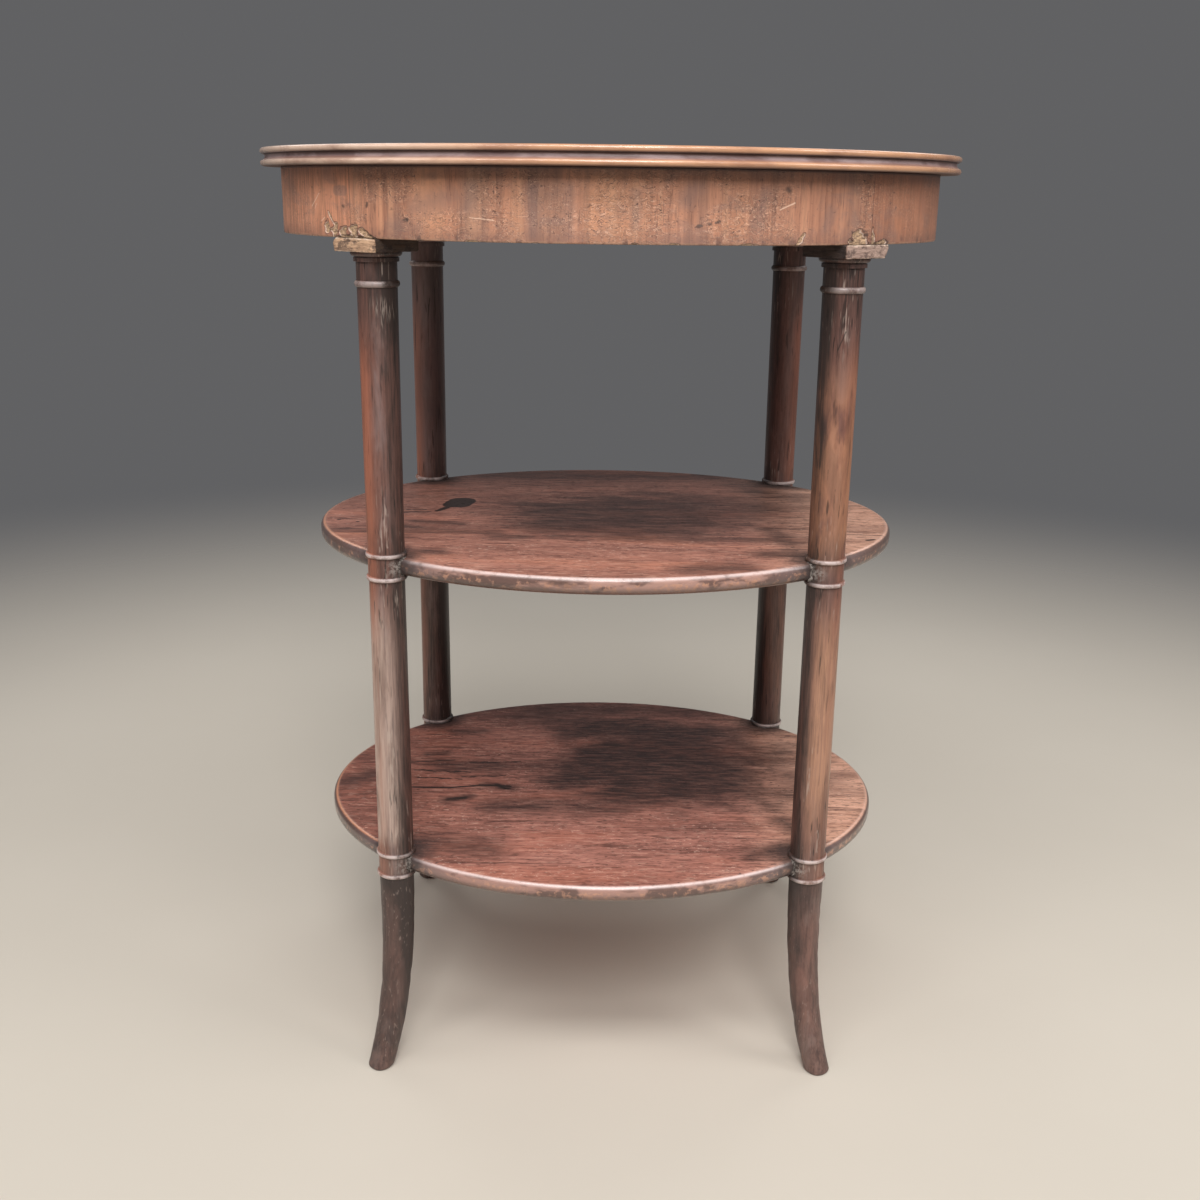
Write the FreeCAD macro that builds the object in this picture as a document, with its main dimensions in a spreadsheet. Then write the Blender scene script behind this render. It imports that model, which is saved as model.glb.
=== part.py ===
import FreeCAD, Part
import math
import os

import Sketcher

DOC = FreeCAD.newDocument("tiered_side_table")
SHEET = DOC.addObject("Spreadsheet::Sheet", "Sizes")

# Driving sizes: lengths in millimetres, and the column angle in degrees round the oval from its right end
SIZES = {
    # Shelves
    "shelf_half_width": 245.0,
    "shelf_half_depth": 203.0,
    "shelf_thickness": 14.0,
    "shelf_top_round": 4.5,
    "shelf_under_round": 5.5,
    "board_joint_setback": 75.0,
    # Columns, from the foot upwards
    "column_angle": 46.4,
    "collar_radius": 14.2,
    "ring_height": 4.2,
    "ring_reach": 1.7,
    "lower_shaft_length": 229.0,
    "lower_shaft_top_radius": 13.8,
    "upper_shaft_length": 197.4,
    "upper_shaft_top_radius": 14.75,
    "neck_ring_height": 5.0,
    "neck_ring_reach": 1.8,
    "neck_radius": 14.9,
    "neck_height": 13.2,
    "annulet_radius": 16.5,
    "annulet_height": 2.8,
    "quirk_radius": 15.8,
    "quirk_height": 0.9,
    "ovolo_foot_radius": 17.2,
    "ovolo_top_radius": 18.7,
    "ovolo_height": 3.2,
    "ovolo_bow": 0.6,
    # Joints of the columns
    "housing_inset": 6.0,
    "seat_clearance": 0.1,
    "tenon_radius": 7.0,
    "tenon_cover": 8.5,
    "tenon_clearance": 0.1,
    # Feet
    "foot_height": 171.0,
    "foot_top_width": 27.5,
    "foot_base_width": 18.7,
    "foot_splay": 25.6,
    "foot_toe_round": 4.0,
    "foot_pin_radius": 6.0,
    "foot_pin_length": 25.0,
    # Abacus blocks and apron
    "abacus_side": 43.5,
    "abacus_height": 9.4,
    "apron_overhang": 18.0,
    "apron_height": 49.6,
    "veneer_thickness": 1.5,
    "glue_line": 0.1,
    "core_thickness": 32.0,
    "lap_length": 32.0,
    # Top
    "top_overhang": 15.5,
    "bead_height": 4.5,
    "bead_reach": 1.9,
    "cove_height": 4.4,
    "cove_depth": 1.6,
    "cove_bow": 0.8,
    # Reach of every cutting block past what it cuts
    "cut_overrun": 5.0,
}

# Heights of the foot's sections as shares of its height, from the toe up
FOOT_SECTION_SHARES = (0.0, 0.1, 0.24, 0.42, 0.64, 0.84, 1.0)

# Corner radius of the foot's section as a share of its width, at the toe and at the column
FOOT_TOE_CORNER_SHARE = 0.33
FOOT_TOP_CORNER_SHARE = 0.48

# The sweep of the foot grows with this power of the share of the way down
FOOT_SWEEP_POWER = 3

# How far a quarter round bows from its chord, as a share of its radius
QUARTER_BOW_SHARE = 1 - math.sqrt(0.5)

# Width of an oval board's swept rim as a share of its thickness
RIM_WIDTH_SHARE = 1.5

# Side of each column: right is 1 and left is -1, rear is 1 and front is -1
STANDS = {
    "front_left": (-1, -1),
    "front_right": (1, -1),
    "rear_left": (-1, 1),
    "rear_right": (1, 1),
}


class Size:
    """A number together with the sheet expression that gives it."""

    def __init__(self, value, text):
        self.value = value
        self.text = text

    def joined(self, sign, other, value):
        return Size(value, f"({self.text} {sign} {as_size(other).text})")

    def __add__(self, other):
        return self.joined("+", other, self.value + as_size(other).value)

    def __sub__(self, other):
        return self.joined("-", other, self.value - as_size(other).value)

    def __mul__(self, other):
        return self.joined("*", other, self.value * as_size(other).value)

    def __truediv__(self, other):
        return self.joined("/", other, self.value / as_size(other).value)

    def __neg__(self):
        return self * -1


def as_size(value):
    """A size as it is, or a plain number as a size."""
    return value if isinstance(value, Size) else Size(value, f"{value}")


def cosine(angle):
    return Size(math.cos(math.radians(angle.value)), f"cos({angle.text})")


def sine(angle):
    return Size(math.sin(math.radians(angle.value)), f"sin({angle.text})")


def slope_angle(rise, run):
    """The angle whose tangent is rise over run."""
    return Size(math.degrees(math.atan2(rise.value, run.value)), f"atan({rise.text} / {run.text})")


# Fill the sheet, and keep each cell as a size under its own name
for row, (alias, number) in enumerate(SIZES.items(), start=1):
    SHEET.set(f"A{row}", alias)
    SHEET.set(f"B{row}", f"{number}")
    SHEET.setAlias(f"B{row}", alias)
DOC.recompute()
CELL = {alias: Size(number, f"Sizes.{alias}") for alias, number in SIZES.items()}
ZERO = Size(0, "0")
HALF_TURN = Size(180, "180 deg")

# Levels above the floor
collar_height = CELL["ring_height"] * 2 + CELL["shelf_thickness"] + CELL["seat_clearance"] * 2
low_collar = CELL["foot_height"]
mid_collar = low_collar + collar_height + CELL["lower_shaft_length"]
neck_ring = mid_collar + collar_height + CELL["upper_shaft_length"]
neck = neck_ring + CELL["neck_ring_height"]
annulet = neck + CELL["neck_height"]
quirk = annulet + CELL["annulet_height"]
ovolo = quirk + CELL["quirk_height"]
abacus_level = ovolo + CELL["ovolo_height"]
apron_level = abacus_level + CELL["abacus_height"]
lap_level = apron_level + CELL["apron_height"] / 2
top_level = apron_level + CELL["apron_height"]
top_thickness = CELL["bead_height"] * 2 + CELL["cove_height"]
tenon_end = top_level - CELL["tenon_cover"]
low_seat = low_collar + CELL["ring_height"]
mid_seat = mid_collar + CELL["ring_height"]
low_shelf_level = low_seat + CELL["seat_clearance"]
mid_shelf_level = mid_seat + CELL["seat_clearance"]

# Plan: each column stands on the shelf's edge and faces straight out of the oval
column_x = CELL["shelf_half_width"] * cosine(CELL["column_angle"])
column_y = CELL["shelf_half_depth"] * sine(CELL["column_angle"])
column_turn = slope_angle(
    CELL["shelf_half_width"] * sine(CELL["column_angle"]),
    CELL["shelf_half_depth"] * cosine(CELL["column_angle"]),
)
apron_half_width = CELL["shelf_half_width"] + CELL["apron_overhang"]
apron_half_depth = CELL["shelf_half_depth"] + CELL["apron_overhang"]
top_half_width = apron_half_width + CELL["top_overhang"]
top_half_depth = apron_half_depth + CELL["top_overhang"]
seam_x = column_x + CELL["lap_length"] / 2
lap_x = column_x - CELL["lap_length"] / 2
reach_x = top_half_width + CELL["cut_overrun"]
reach_y = top_half_depth + CELL["cut_overrun"]


def bind(item, **sizes):
    """Ties properties of an object to the sheet."""
    for field, size in sizes.items():
        item.setExpression(field, size.text)


def place(item, x=ZERO, y=ZERO, z=ZERO, turn=ZERO):
    """Ties an object's place, and its turn about the upright axis, to the sheet."""
    for field, size in (("Base.x", x), ("Base.y", y), ("Base.z", z), ("Rotation.Angle", turn)):
        item.setExpression(f"Placement.{field}", size.text)


def stand(item, side_x, side_y, level=ZERO):
    """Puts a piece made round the upright axis, facing right, at one of the four columns."""
    turn = column_turn * (side_x * side_y)
    if side_x < 0:
        turn = turn + HALF_TURN
    place(item, column_x * side_x, column_y * side_y, level, turn)


def block(name, x_from, x_to, y_from, y_to, z_from, z_to):
    """A box between two corners."""
    item = DOC.addObject("Part::Box", name)
    bind(item, Length=x_to - x_from, Width=y_to - y_from, Height=z_to - z_from)
    place(item, x_from, y_from, z_from)
    return item


def round_bar(name, radius, z_from, z_to):
    """An upright cylinder on the axis."""
    item = DOC.addObject("Part::Cylinder", name)
    bind(item, Radius=radius, Height=z_to - z_from)
    place(item, z=z_from)
    return item


def boolean(kind, name, base, tool):
    """A cut, fuse or common of two objects."""
    item = DOC.addObject(f"Part::{kind}", name)
    item.Base = base
    item.Tool = tool
    return item


def group(name, items):
    """Several objects as one."""
    item = DOC.addObject("Part::Compound", name)
    item.Links = items
    return item


def oval_line(name, half_width, half_depth, level):
    """An oval; its longer half is the major radius, turned a quarter where that half is the depth."""
    line = DOC.addObject("Part::Ellipse", name)
    line.setExpression("MajorRadius", f"max({half_width.text}; {half_depth.text})")
    line.setExpression("MinorRadius", f"min({half_width.text}; {half_depth.text})")
    place(line, z=level)
    line.setExpression("Placement.Rotation.Angle", f"{half_width.text} < {half_depth.text} ? 90 : 0")
    return line


def oval_block(name, half_width, half_depth, level, height):
    """An upright block with an oval plan."""
    item = DOC.addObject("Part::Extrusion", name)
    item.Base = oval_line(f"{name}_line", half_width, half_depth, level)
    item.DirMode = "Custom"
    item.Dir = FreeCAD.Vector(0, 0, 1)
    item.Solid = True
    bind(item, LengthFwd=height)
    return item


def outline(name, points, upright=True):
    """A closed sketch through points of across, up and bow.

    The side that ends at a point is straight where bow is None. Otherwise it is an arc that bows by that
    much to the right of its direction. An upright sketch stands on the plane through the axis and the
    right end.
    """
    sketch = DOC.addObject("Sketcher::SketchObject", name)
    if upright:
        sketch.Placement.Rotation = FreeCAD.Rotation(FreeCAD.Vector(1, 0, 0), 90)
    spots = [FreeCAD.Vector(across.value, up.value, 0) for across, up, bow in points]
    ends = []
    for index, (across, up, bow) in enumerate(points):
        start, finish = spots[index - 1], spots[index]
        if bow is None:
            side = sketch.addGeometry(Part.LineSegment(start, finish))
        else:
            along = (finish - start).normalize()
            right = FreeCAD.Vector(along.y, -along.x, 0)
            side = sketch.addGeometry(Part.Arc(start, (start + finish) / 2 + right * bow.value, finish))
        # An arc's own ends run anticlockwise, so its first end may be the one that finishes this side
        away = [sketch.getPoint(side, end).distanceToPoint(finish) for end in (1, 2)]
        first, last = (1, 2) if away[1] < away[0] else (2, 1)
        ends.append((side, first, last))
    for index, (across, up, bow) in enumerate(points):
        side, first, last = ends[index]
        following = ends[(index + 1) % len(ends)]
        sketch.addConstraint(Sketcher.Constraint("Coincident", side, last, following[0], following[1]))
        if across is ZERO:
            sketch.addConstraint(Sketcher.Constraint("PointOnObject", side, last, -2))
        else:
            number = sketch.addConstraint(Sketcher.Constraint("DistanceX", -1, 1, side, last, across.value))
            sketch.setExpression(f"Constraints[{number}]", across.text)
        number = sketch.addConstraint(Sketcher.Constraint("DistanceY", -1, 1, side, last, up.value))
        sketch.setExpression(f"Constraints[{number}]", up.text)
        if bow is not None:
            before = points[index - 1]
            chord_x, chord_y = across - before[0], up - before[1]
            depth = bow if bow.value > 0 else -bow
            radius = ((chord_x * chord_x + chord_y * chord_y) / 4 + depth * depth) / (depth * 2)
            number = sketch.addConstraint(Sketcher.Constraint("Radius", side, radius.value))
            sketch.setExpression(f"Constraints[{number}]", radius.text)
    return sketch


def moulded_board(name, half_width, half_depth, level, thickness, edge):
    """An oval board: a plain middle joined to a rim whose edge outline is swept round the oval."""
    rim_width = thickness * RIM_WIDTH_SHARE
    inner = half_width - rim_width
    rim = DOC.addObject("Part::Sweep", f"{name}_rim")
    section = [(inner, level, None), *edge, (inner, level + thickness, None)]
    rim.Sections = [outline(f"{name}_edge", section)]
    rim.Spine = (oval_line(f"{name}_line", half_width, half_depth, level), ["Edge1"])
    rim.Solid = True
    middle = oval_block(
        f"{name}_middle", half_width - rim_width / 2, half_depth - rim_width / 2, level, thickness
    )
    board = boolean("Fuse", f"{name}_blank", middle, rim)
    board.Refine = True
    return board


def shelf_board(name, level, notches, extent=None):
    """An oval shelf, or the part of it within an extent, rounded along its oval arrises and notched."""
    thickness = CELL["shelf_thickness"]
    blank = oval_block(
        f"{name}_oval", CELL["shelf_half_width"], CELL["shelf_half_depth"], level, thickness
    )
    if extent:
        blank = boolean("Common", f"{name}_blank", blank, extent)
    DOC.recompute()
    middle = (level + thickness / 2).value
    arrises = []
    for number, edge in enumerate(blank.Shape.Edges, start=1):
        if isinstance(edge.Curve, Part.Ellipse):
            upper = edge.BoundBox.ZMin > middle
            radius = CELL["shelf_top_round" if upper else "shelf_under_round"].value
            arrises.append((number, radius, radius))
    rounded = DOC.addObject("Part::Fillet", f"{name}_rounded")
    rounded.Base = blank
    rounded.Edges = arrises
    return boolean("Cut", name, rounded, notches)


def column_notches():
    """What the shelves leave free at each column: its round, without the part let into its housing."""
    radius = CELL["collar_radius"] + CELL["seat_clearance"]
    bar = round_bar("notch_bar", radius, ZERO, top_level)
    keep = block(
        "notch_keep",
        -(CELL["housing_inset"] + CELL["seat_clearance"]),
        radius + CELL["cut_overrun"],
        -(radius + CELL["cut_overrun"]),
        radius + CELL["cut_overrun"],
        ZERO,
        top_level,
    )
    cuts = []
    for side, (side_x, side_y) in STANDS.items():
        cut = boolean("Common", f"notch_{side}", bar, keep)
        stand(cut, side_x, side_y)
        cuts.append(cut)
    return group("notches", cuts)


def shelves():
    """The lower shelf in one board, and the middle shelf in two boards glued along a straight joint."""
    notches = column_notches()
    joint_y = -CELL["board_joint_setback"]
    front = block("front_extent", -reach_x, reach_x, -reach_y, joint_y, ZERO, top_level)
    rear = block("rear_extent", -reach_x, reach_x, joint_y, reach_y, ZERO, top_level)
    return [
        shelf_board("low_shelf_board", low_shelf_level, notches),
        shelf_board("mid_shelf_front_board", mid_shelf_level, notches, front),
        shelf_board("mid_shelf_rear_board", mid_shelf_level, notches, rear),
    ]


def collar_outline(level):
    """A pair of rings with a plain band between them, on the column's outline, from the lower ring up."""
    radius, ring, reach = CELL["collar_radius"], CELL["ring_height"], CELL["ring_reach"]
    return [
        (radius, level, None),
        (radius, level + ring, reach),
        (radius, level + collar_height - ring, None),
        (radius, level + collar_height, reach),
    ]


def columns():
    """Four turned columns, with a bore for the foot's pin, a tenon on top and a housing for each shelf."""
    bore = CELL["foot_pin_radius"] + CELL["tenon_clearance"]
    bore_end = low_collar + CELL["foot_pin_length"] + CELL["tenon_clearance"]
    neck_foot = CELL["upper_shaft_top_radius"]
    profile = outline(
        "column_outline",
        [
            (ZERO, bore_end, None),
            (bore, bore_end, None),
            (bore, low_collar, None),
            *collar_outline(low_collar),
            (CELL["lower_shaft_top_radius"], mid_collar, None),
            *collar_outline(mid_collar),
            (neck_foot, neck_ring, None),
            (neck_foot, neck, CELL["neck_ring_reach"]),
            (CELL["neck_radius"], neck, None),
            (CELL["neck_radius"], annulet, None),
            (CELL["annulet_radius"], annulet, None),
            (CELL["annulet_radius"], quirk, None),
            (CELL["quirk_radius"], quirk, None),
            (CELL["quirk_radius"], ovolo, None),
            (CELL["ovolo_foot_radius"], ovolo, None),
            (CELL["ovolo_top_radius"], abacus_level, CELL["ovolo_bow"]),
            (CELL["tenon_radius"], abacus_level, None),
            (CELL["tenon_radius"], tenon_end, None),
            (ZERO, tenon_end, None),
        ],
    )
    turned = DOC.addObject("Part::Revolution", "turned_column")
    turned.Source = profile
    turned.Axis = FreeCAD.Vector(0, 0, 1)
    turned.Solid = True
    far = CELL["collar_radius"] + CELL["ring_reach"] + CELL["cut_overrun"]
    seat = CELL["shelf_thickness"] + CELL["seat_clearance"] * 2
    housings = group(
        "housings",
        [
            block(f"{name}_housing", -far, -CELL["housing_inset"], -far, far, level, level + seat)
            for name, level in (("low", low_seat), ("mid", mid_seat))
        ],
    )
    nodes = []
    for side, (side_x, side_y) in STANDS.items():
        column = boolean("Cut", f"column_{side}", turned, housings)
        stand(column, side_x, side_y)
        nodes.append(column)
    return nodes


def foot_section(index, share):
    """A square with rounded corners, at this share of the foot's height."""
    width = CELL["foot_base_width"] + (CELL["foot_top_width"] - CELL["foot_base_width"]) * share
    corner = width * (FOOT_TOE_CORNER_SHARE + (FOOT_TOP_CORNER_SHARE - FOOT_TOE_CORNER_SHARE) * share)
    bow = corner * QUARTER_BOW_SHARE
    near, far = width, width * 2
    section = outline(
        f"foot_section_{index}",
        [
            (near, near + corner, None),
            (near + corner, near, bow),
            (far - corner, near, None),
            (far, near + corner, bow),
            (far, far - corner, None),
            (far - corner, far, bow),
            (near + corner, far, None),
            (near, far - corner, bow),
        ],
        upright=False,
    )
    middle = (near + far) / 2
    sweep = CELL["foot_splay"] * (1 - share) ** FOOT_SWEEP_POWER
    place(section, sweep - middle, -middle, CELL["foot_height"] * share)
    return section


def feet():
    """Four sabre feet, each swept outwards to a rounded toe and pinned into its column."""
    sweep = DOC.addObject("Part::Loft", "foot_sweep")
    sweep.Sections = [foot_section(index, share) for index, share in enumerate(FOOT_SECTION_SHARES)]
    sweep.Solid = True
    DOC.recompute()
    toe_edges = [
        number
        for number, edge in enumerate(sweep.Shape.Edges, start=1)
        if edge.BoundBox.ZMax < CELL["foot_toe_round"].value / 2
    ]
    toe = DOC.addObject("Part::Fillet", "foot_toe")
    toe.Base = sweep
    toe_round = CELL["foot_toe_round"].value
    toe.Edges = [(number, toe_round, toe_round) for number in toe_edges]
    pin = round_bar("foot_pin", CELL["foot_pin_radius"], low_collar, low_collar + CELL["foot_pin_length"])
    nodes = []
    for side, (side_x, side_y) in STANDS.items():
        foot = boolean("Fuse", f"foot_{side}", toe, pin)
        stand(foot, side_x, side_y)
        nodes.append(foot)
    return nodes


def tenon_room():
    """The room that the four column tenons take above the columns."""
    radius = CELL["tenon_radius"] + CELL["tenon_clearance"]
    bars = []
    for side, (side_x, side_y) in STANDS.items():
        bar = round_bar(f"tenon_room_{side}", radius, abacus_level, tenon_end + CELL["tenon_clearance"])
        stand(bar, side_x, side_y, abacus_level)
        bars.append(bar)
    return bars


def abaci():
    """Four square blocks between the columns and the apron, bored for the tenons."""
    half = CELL["abacus_side"] / 2
    square = block("abacus_square", -half, half, -half, half, abacus_level, apron_level)
    bore = CELL["tenon_radius"] + CELL["tenon_clearance"]
    hole = round_bar("abacus_hole", bore, abacus_level, apron_level)
    nodes = []
    for side, (side_x, side_y) in STANDS.items():
        abacus = boolean("Cut", f"abacus_{side}", square, hole)
        stand(abacus, side_x, side_y)
        nodes.append(abacus)
    return nodes


def apron():
    """A core in four curved pieces that lap over the columns, and a veneer in four sheets over it."""
    back = CELL["veneer_thickness"]
    face = back + CELL["glue_line"]
    inside = face + CELL["core_thickness"]
    height = CELL["apron_height"]
    outside, veneer_back, core_face, core_inside = [
        oval_block(name, apron_half_width - inset, apron_half_depth - inset, apron_level, height)
        for name, inset in (
            ("apron_outside", ZERO),
            ("veneer_back", back),
            ("core_face", face),
            ("core_inside", inside),
        )
    ]
    ring = boolean("Cut", "core_ring", core_face, group("core_hollows", [core_inside, *tenon_room()]))
    skin = boolean("Cut", "veneer_ring", outside, veneer_back)
    # Of each lap's two halves, the upper belongs to the front or rear piece and the lower to the side piece
    pieces = {
        "front": ((-seam_x, seam_x), (-lap_x, lap_x), (-reach_y, ZERO)),
        "rear": ((-seam_x, seam_x), (-lap_x, lap_x), (ZERO, reach_y)),
        "left": ((-reach_x, -seam_x), (-reach_x, -lap_x), (-reach_y, reach_y)),
        "right": ((seam_x, reach_x), (lap_x, reach_x), (-reach_y, reach_y)),
    }
    nodes = []
    for name, (upper_x, lower_x, across_y) in pieces.items():
        upper = block(f"{name}_upper_lap", *upper_x, *across_y, lap_level, top_level)
        lower = block(f"{name}_lower_lap", *lower_x, *across_y, apron_level, lap_level)
        stepped = boolean("Fuse", f"{name}_lap", upper, lower)
        sheet = block(f"{name}_sheet", *upper_x, *across_y, apron_level, top_level)
        nodes.append(boolean("Common", f"apron_core_{name}", ring, stepped))
        nodes.append(boolean("Common", f"apron_veneer_{name}", skin, sheet))
    return nodes


def table_top():
    """An oval top whose edge is a bead, a cove and a second bead, from the underside up."""
    bead, reach, cove = CELL["bead_height"], CELL["bead_reach"], CELL["cove_height"]
    flat = top_half_width - reach
    edge = [
        (flat, top_level, None),
        (flat, top_level + bead, reach),
        (flat - CELL["cove_depth"], top_level + bead + cove, -CELL["cove_bow"]),
        (flat, top_level + bead + cove, None),
        (flat, top_level + top_thickness, reach),
    ]
    board = moulded_board("table_top", top_half_width, top_half_depth, top_level, top_thickness, edge)
    board.Label = "table_top"
    return [board]


NODES = [*table_top(), *apron(), *abaci(), *columns(), *shelves(), *feet()]
DOC.recompute()

for item in DOC.Objects:
    if "Invalid" in item.State or "Error" in item.State:
        raise RuntimeError(f"{item.Label} failed: {item.State}")
for node in NODES:
    if node.Shape.isNull() or not node.Shape.isValid():
        raise RuntimeError(f"{node.Label} has no valid shape")

os.makedirs("parts", exist_ok=True)
for node in NODES:
    node.Shape.exportStep(f"parts/{node.Label}.step")
    print(f"{node.Label}: {len(node.Shape.Solids)} solid, {node.Shape.Volume / 1000:.1f} cm3")
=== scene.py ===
import math
import bpy
import numpy as np
from mathutils import Matrix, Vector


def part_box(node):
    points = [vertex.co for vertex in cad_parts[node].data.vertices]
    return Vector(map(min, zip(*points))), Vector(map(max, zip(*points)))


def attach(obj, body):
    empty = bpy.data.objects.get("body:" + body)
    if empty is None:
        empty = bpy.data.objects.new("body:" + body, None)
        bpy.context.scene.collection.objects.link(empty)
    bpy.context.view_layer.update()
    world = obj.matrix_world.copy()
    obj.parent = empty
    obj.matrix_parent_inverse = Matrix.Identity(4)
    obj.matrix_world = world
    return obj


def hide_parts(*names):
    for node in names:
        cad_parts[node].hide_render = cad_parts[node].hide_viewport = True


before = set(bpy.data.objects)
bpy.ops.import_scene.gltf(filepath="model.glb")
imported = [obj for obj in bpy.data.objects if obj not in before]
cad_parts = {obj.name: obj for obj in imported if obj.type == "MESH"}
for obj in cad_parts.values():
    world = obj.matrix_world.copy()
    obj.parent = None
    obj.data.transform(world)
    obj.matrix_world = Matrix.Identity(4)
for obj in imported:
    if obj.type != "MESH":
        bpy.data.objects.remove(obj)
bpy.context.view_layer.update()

# Sizes read from the frame, in metres
SHELF_LOW, SHELF_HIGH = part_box("low_shelf_board")
SHELF_HALF_WIDTH, SHELF_HALF_DEPTH = SHELF_HIGH.x, SHELF_HIGH.y
SHELF_THICKNESS = SHELF_HIGH.z - SHELF_LOW.z
LOW_SHELF_TOP = SHELF_HIGH.z
MID_SHELF_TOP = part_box("mid_shelf_rear_board")[1].z
VENEER_LOW, VENEER_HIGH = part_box("apron_veneer_front")
APRON_HALF_WIDTH, APRON_HALF_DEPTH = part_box("apron_veneer_right")[1].x, -VENEER_LOW.y
APRON_BOTTOM, APRON_TOP = VENEER_LOW.z, VENEER_HIGH.z
APRON_HEIGHT = APRON_TOP - APRON_BOTTOM
SEAM_X = VENEER_HIGH.x
TOP_LOW, TOP_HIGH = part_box("table_top")
POST_LOW, POST_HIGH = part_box("column_front_right")
POST_X, POST_Y = (POST_LOW.x + POST_HIGH.x) / 2, -(POST_LOW.y + POST_HIGH.y) / 2
ABACUS_LOW, ABACUS_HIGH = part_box("abacus_front_right")
FOOT_HEIGHT, FOOT_PIN_TOP = POST_LOW.z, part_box("foot_front_right")[1].z

# The straight-out direction at the right rear column, square to the shelf's oval
OUT_X, OUT_Y = POST_X / SHELF_HALF_WIDTH**2, POST_Y / SHELF_HALF_DEPTH**2
OUT_X, OUT_Y = OUT_X / math.hypot(OUT_X, OUT_Y), OUT_Y / math.hypot(OUT_X, OUT_Y)

# Sizes of the turned and moulded work that the frame's boxes don't give
COLLAR_RADIUS = 0.0142
VENEER_THICKNESS = 0.0015
SHELF_TOP_ROUND = 0.0045
SHELF_UNDER_ROUND = 0.0055
BEAD_HEIGHT = 0.0045
FOOT_TOP_WIDTH, FOOT_TOE_WIDTH = 0.0275, 0.0187
FOOT_SPLAY = 0.0256
FOOT_TOE_ROUND = 0.0026
FOOT_PIN_RADIUS = 0.006
RING_LEVELS = (0.1731, 0.1915, 0.4247, 0.4431, 0.6451)
NECK_RING = RING_LEVELS[-1]
QUIRK_LEVEL = TOP_HIGH.z - BEAD_HEIGHT
COVE_LEVEL = (TOP_LOW.z + TOP_HIGH.z) / 2

SIDES = {"front_left": (-1, -1), "front_right": (1, -1), "rear_left": (-1, 1), "rear_right": (1, 1)}


def mesh_piece(name, points, quads, others=()):
    """A smooth mesh object from an array of points, an array of quads and other faces, its place in its mesh."""
    mesh = bpy.data.meshes.new(name)
    mesh.from_pydata(points.reshape(-1, 3).tolist(), [], quads.tolist() + [face.tolist() for face in others])
    mesh.validate()
    mesh.polygons.foreach_set("use_smooth", np.ones(len(mesh.polygons), bool))
    mesh.update()
    piece = bpy.data.objects.new(name, mesh)
    bpy.context.scene.collection.objects.link(piece)
    return piece


def grid_faces(rows, columns, wrap_rows=False, wrap_columns=False, first=0):
    """Quads of a grid of points, row by row; a wrapped direction joins its last line to its first."""
    r = np.arange(rows if wrap_rows else rows - 1)[:, None]
    c = np.arange(columns if wrap_columns else columns - 1)[None, :]
    up, along = (r + 1) % rows, (c + 1) % columns
    quads = np.stack([r * columns + c, r * columns + along, up * columns + along, up * columns + c], -1)
    return first + quads.reshape(-1, 4)


def ruffle(seed, pitch, *coordinates):
    """Even random swell: a sum of sine waves in seeded directions, with lengths about the pitch."""
    draw = np.random.default_rng(seed)
    total = 0
    waves = 22
    for _ in range(waves):
        way = draw.normal(size=len(coordinates))
        way *= 2 * math.pi / (pitch * draw.uniform(0.7, 1.9) * np.linalg.norm(way))
        total = total + np.sin(sum(w * c for w, c in zip(way, coordinates)) + draw.uniform(0, 2 * math.pi))
    return total / math.sqrt(waves / 2)


def ease(value, low, high):
    """0 below low, 1 above high, and a smooth S between them."""
    share = np.clip((value - low) / (high - low), 0, 1)
    return share * share * (3 - 2 * share)


def oval_walk(half_width, half_depth, start, finish, count):
    """Points and outward directions at equal steps of length along an oval, between two angles."""
    fine = np.linspace(start, finish, 6001)
    steps = np.hypot(np.diff(half_width * np.cos(fine)), np.diff(half_depth * np.sin(fine)))
    run = np.concatenate([[0], np.cumsum(steps)])
    angle = np.interp(np.linspace(0, run[-1], count), run, fine)
    point = np.stack([half_width * np.cos(angle), half_depth * np.sin(angle)], -1)
    out = np.stack([half_depth * np.cos(angle), half_width * np.sin(angle)], -1)
    return point, out / np.linalg.norm(out, axis=1, keepdims=True)


# Broken veneer: place across the front, height over the apron's lower edge, half length, half height, tilt
CHIPS = (
    (-0.205, 0.0066, 0.0034, 0.0052, 0.2),
    (-0.1985, 0.005, 0.004, 0.0052, -0.5),
    (-0.1914, 0.0034, 0.0046, 0.0046, 0.2),
    (-0.1826, 0.0044, 0.005, 0.005, -0.25),
    (-0.1745, 0.0038, 0.0058, 0.0028, -0.42),
    (-0.189, -0.0006, 0.015, 0.0026, 0.0),
    (-0.1725, 0.0004, 0.008, 0.0022, 0.0),
    (-0.2016, 0.0135, 0.001, 0.007, 0.65),
    (0.175, 0.0002, 0.0092, 0.0102, 0.0),
    (0.1868, 0.004, 0.0018, 0.008, 0.06),
    (0.1938, 0.0004, 0.0085, 0.0028, 0.1),
    (0.1293, 0.002, 0.0017, 0.0068, -0.6),
    (0.042, 0.0001, 0.004, 0.0011, 0.0),
    (-0.095, 0.0001, 0.005, 0.0011, 0.0),
    (0.093, 0.0001, 0.006, 0.001, 0.0),
)


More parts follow.
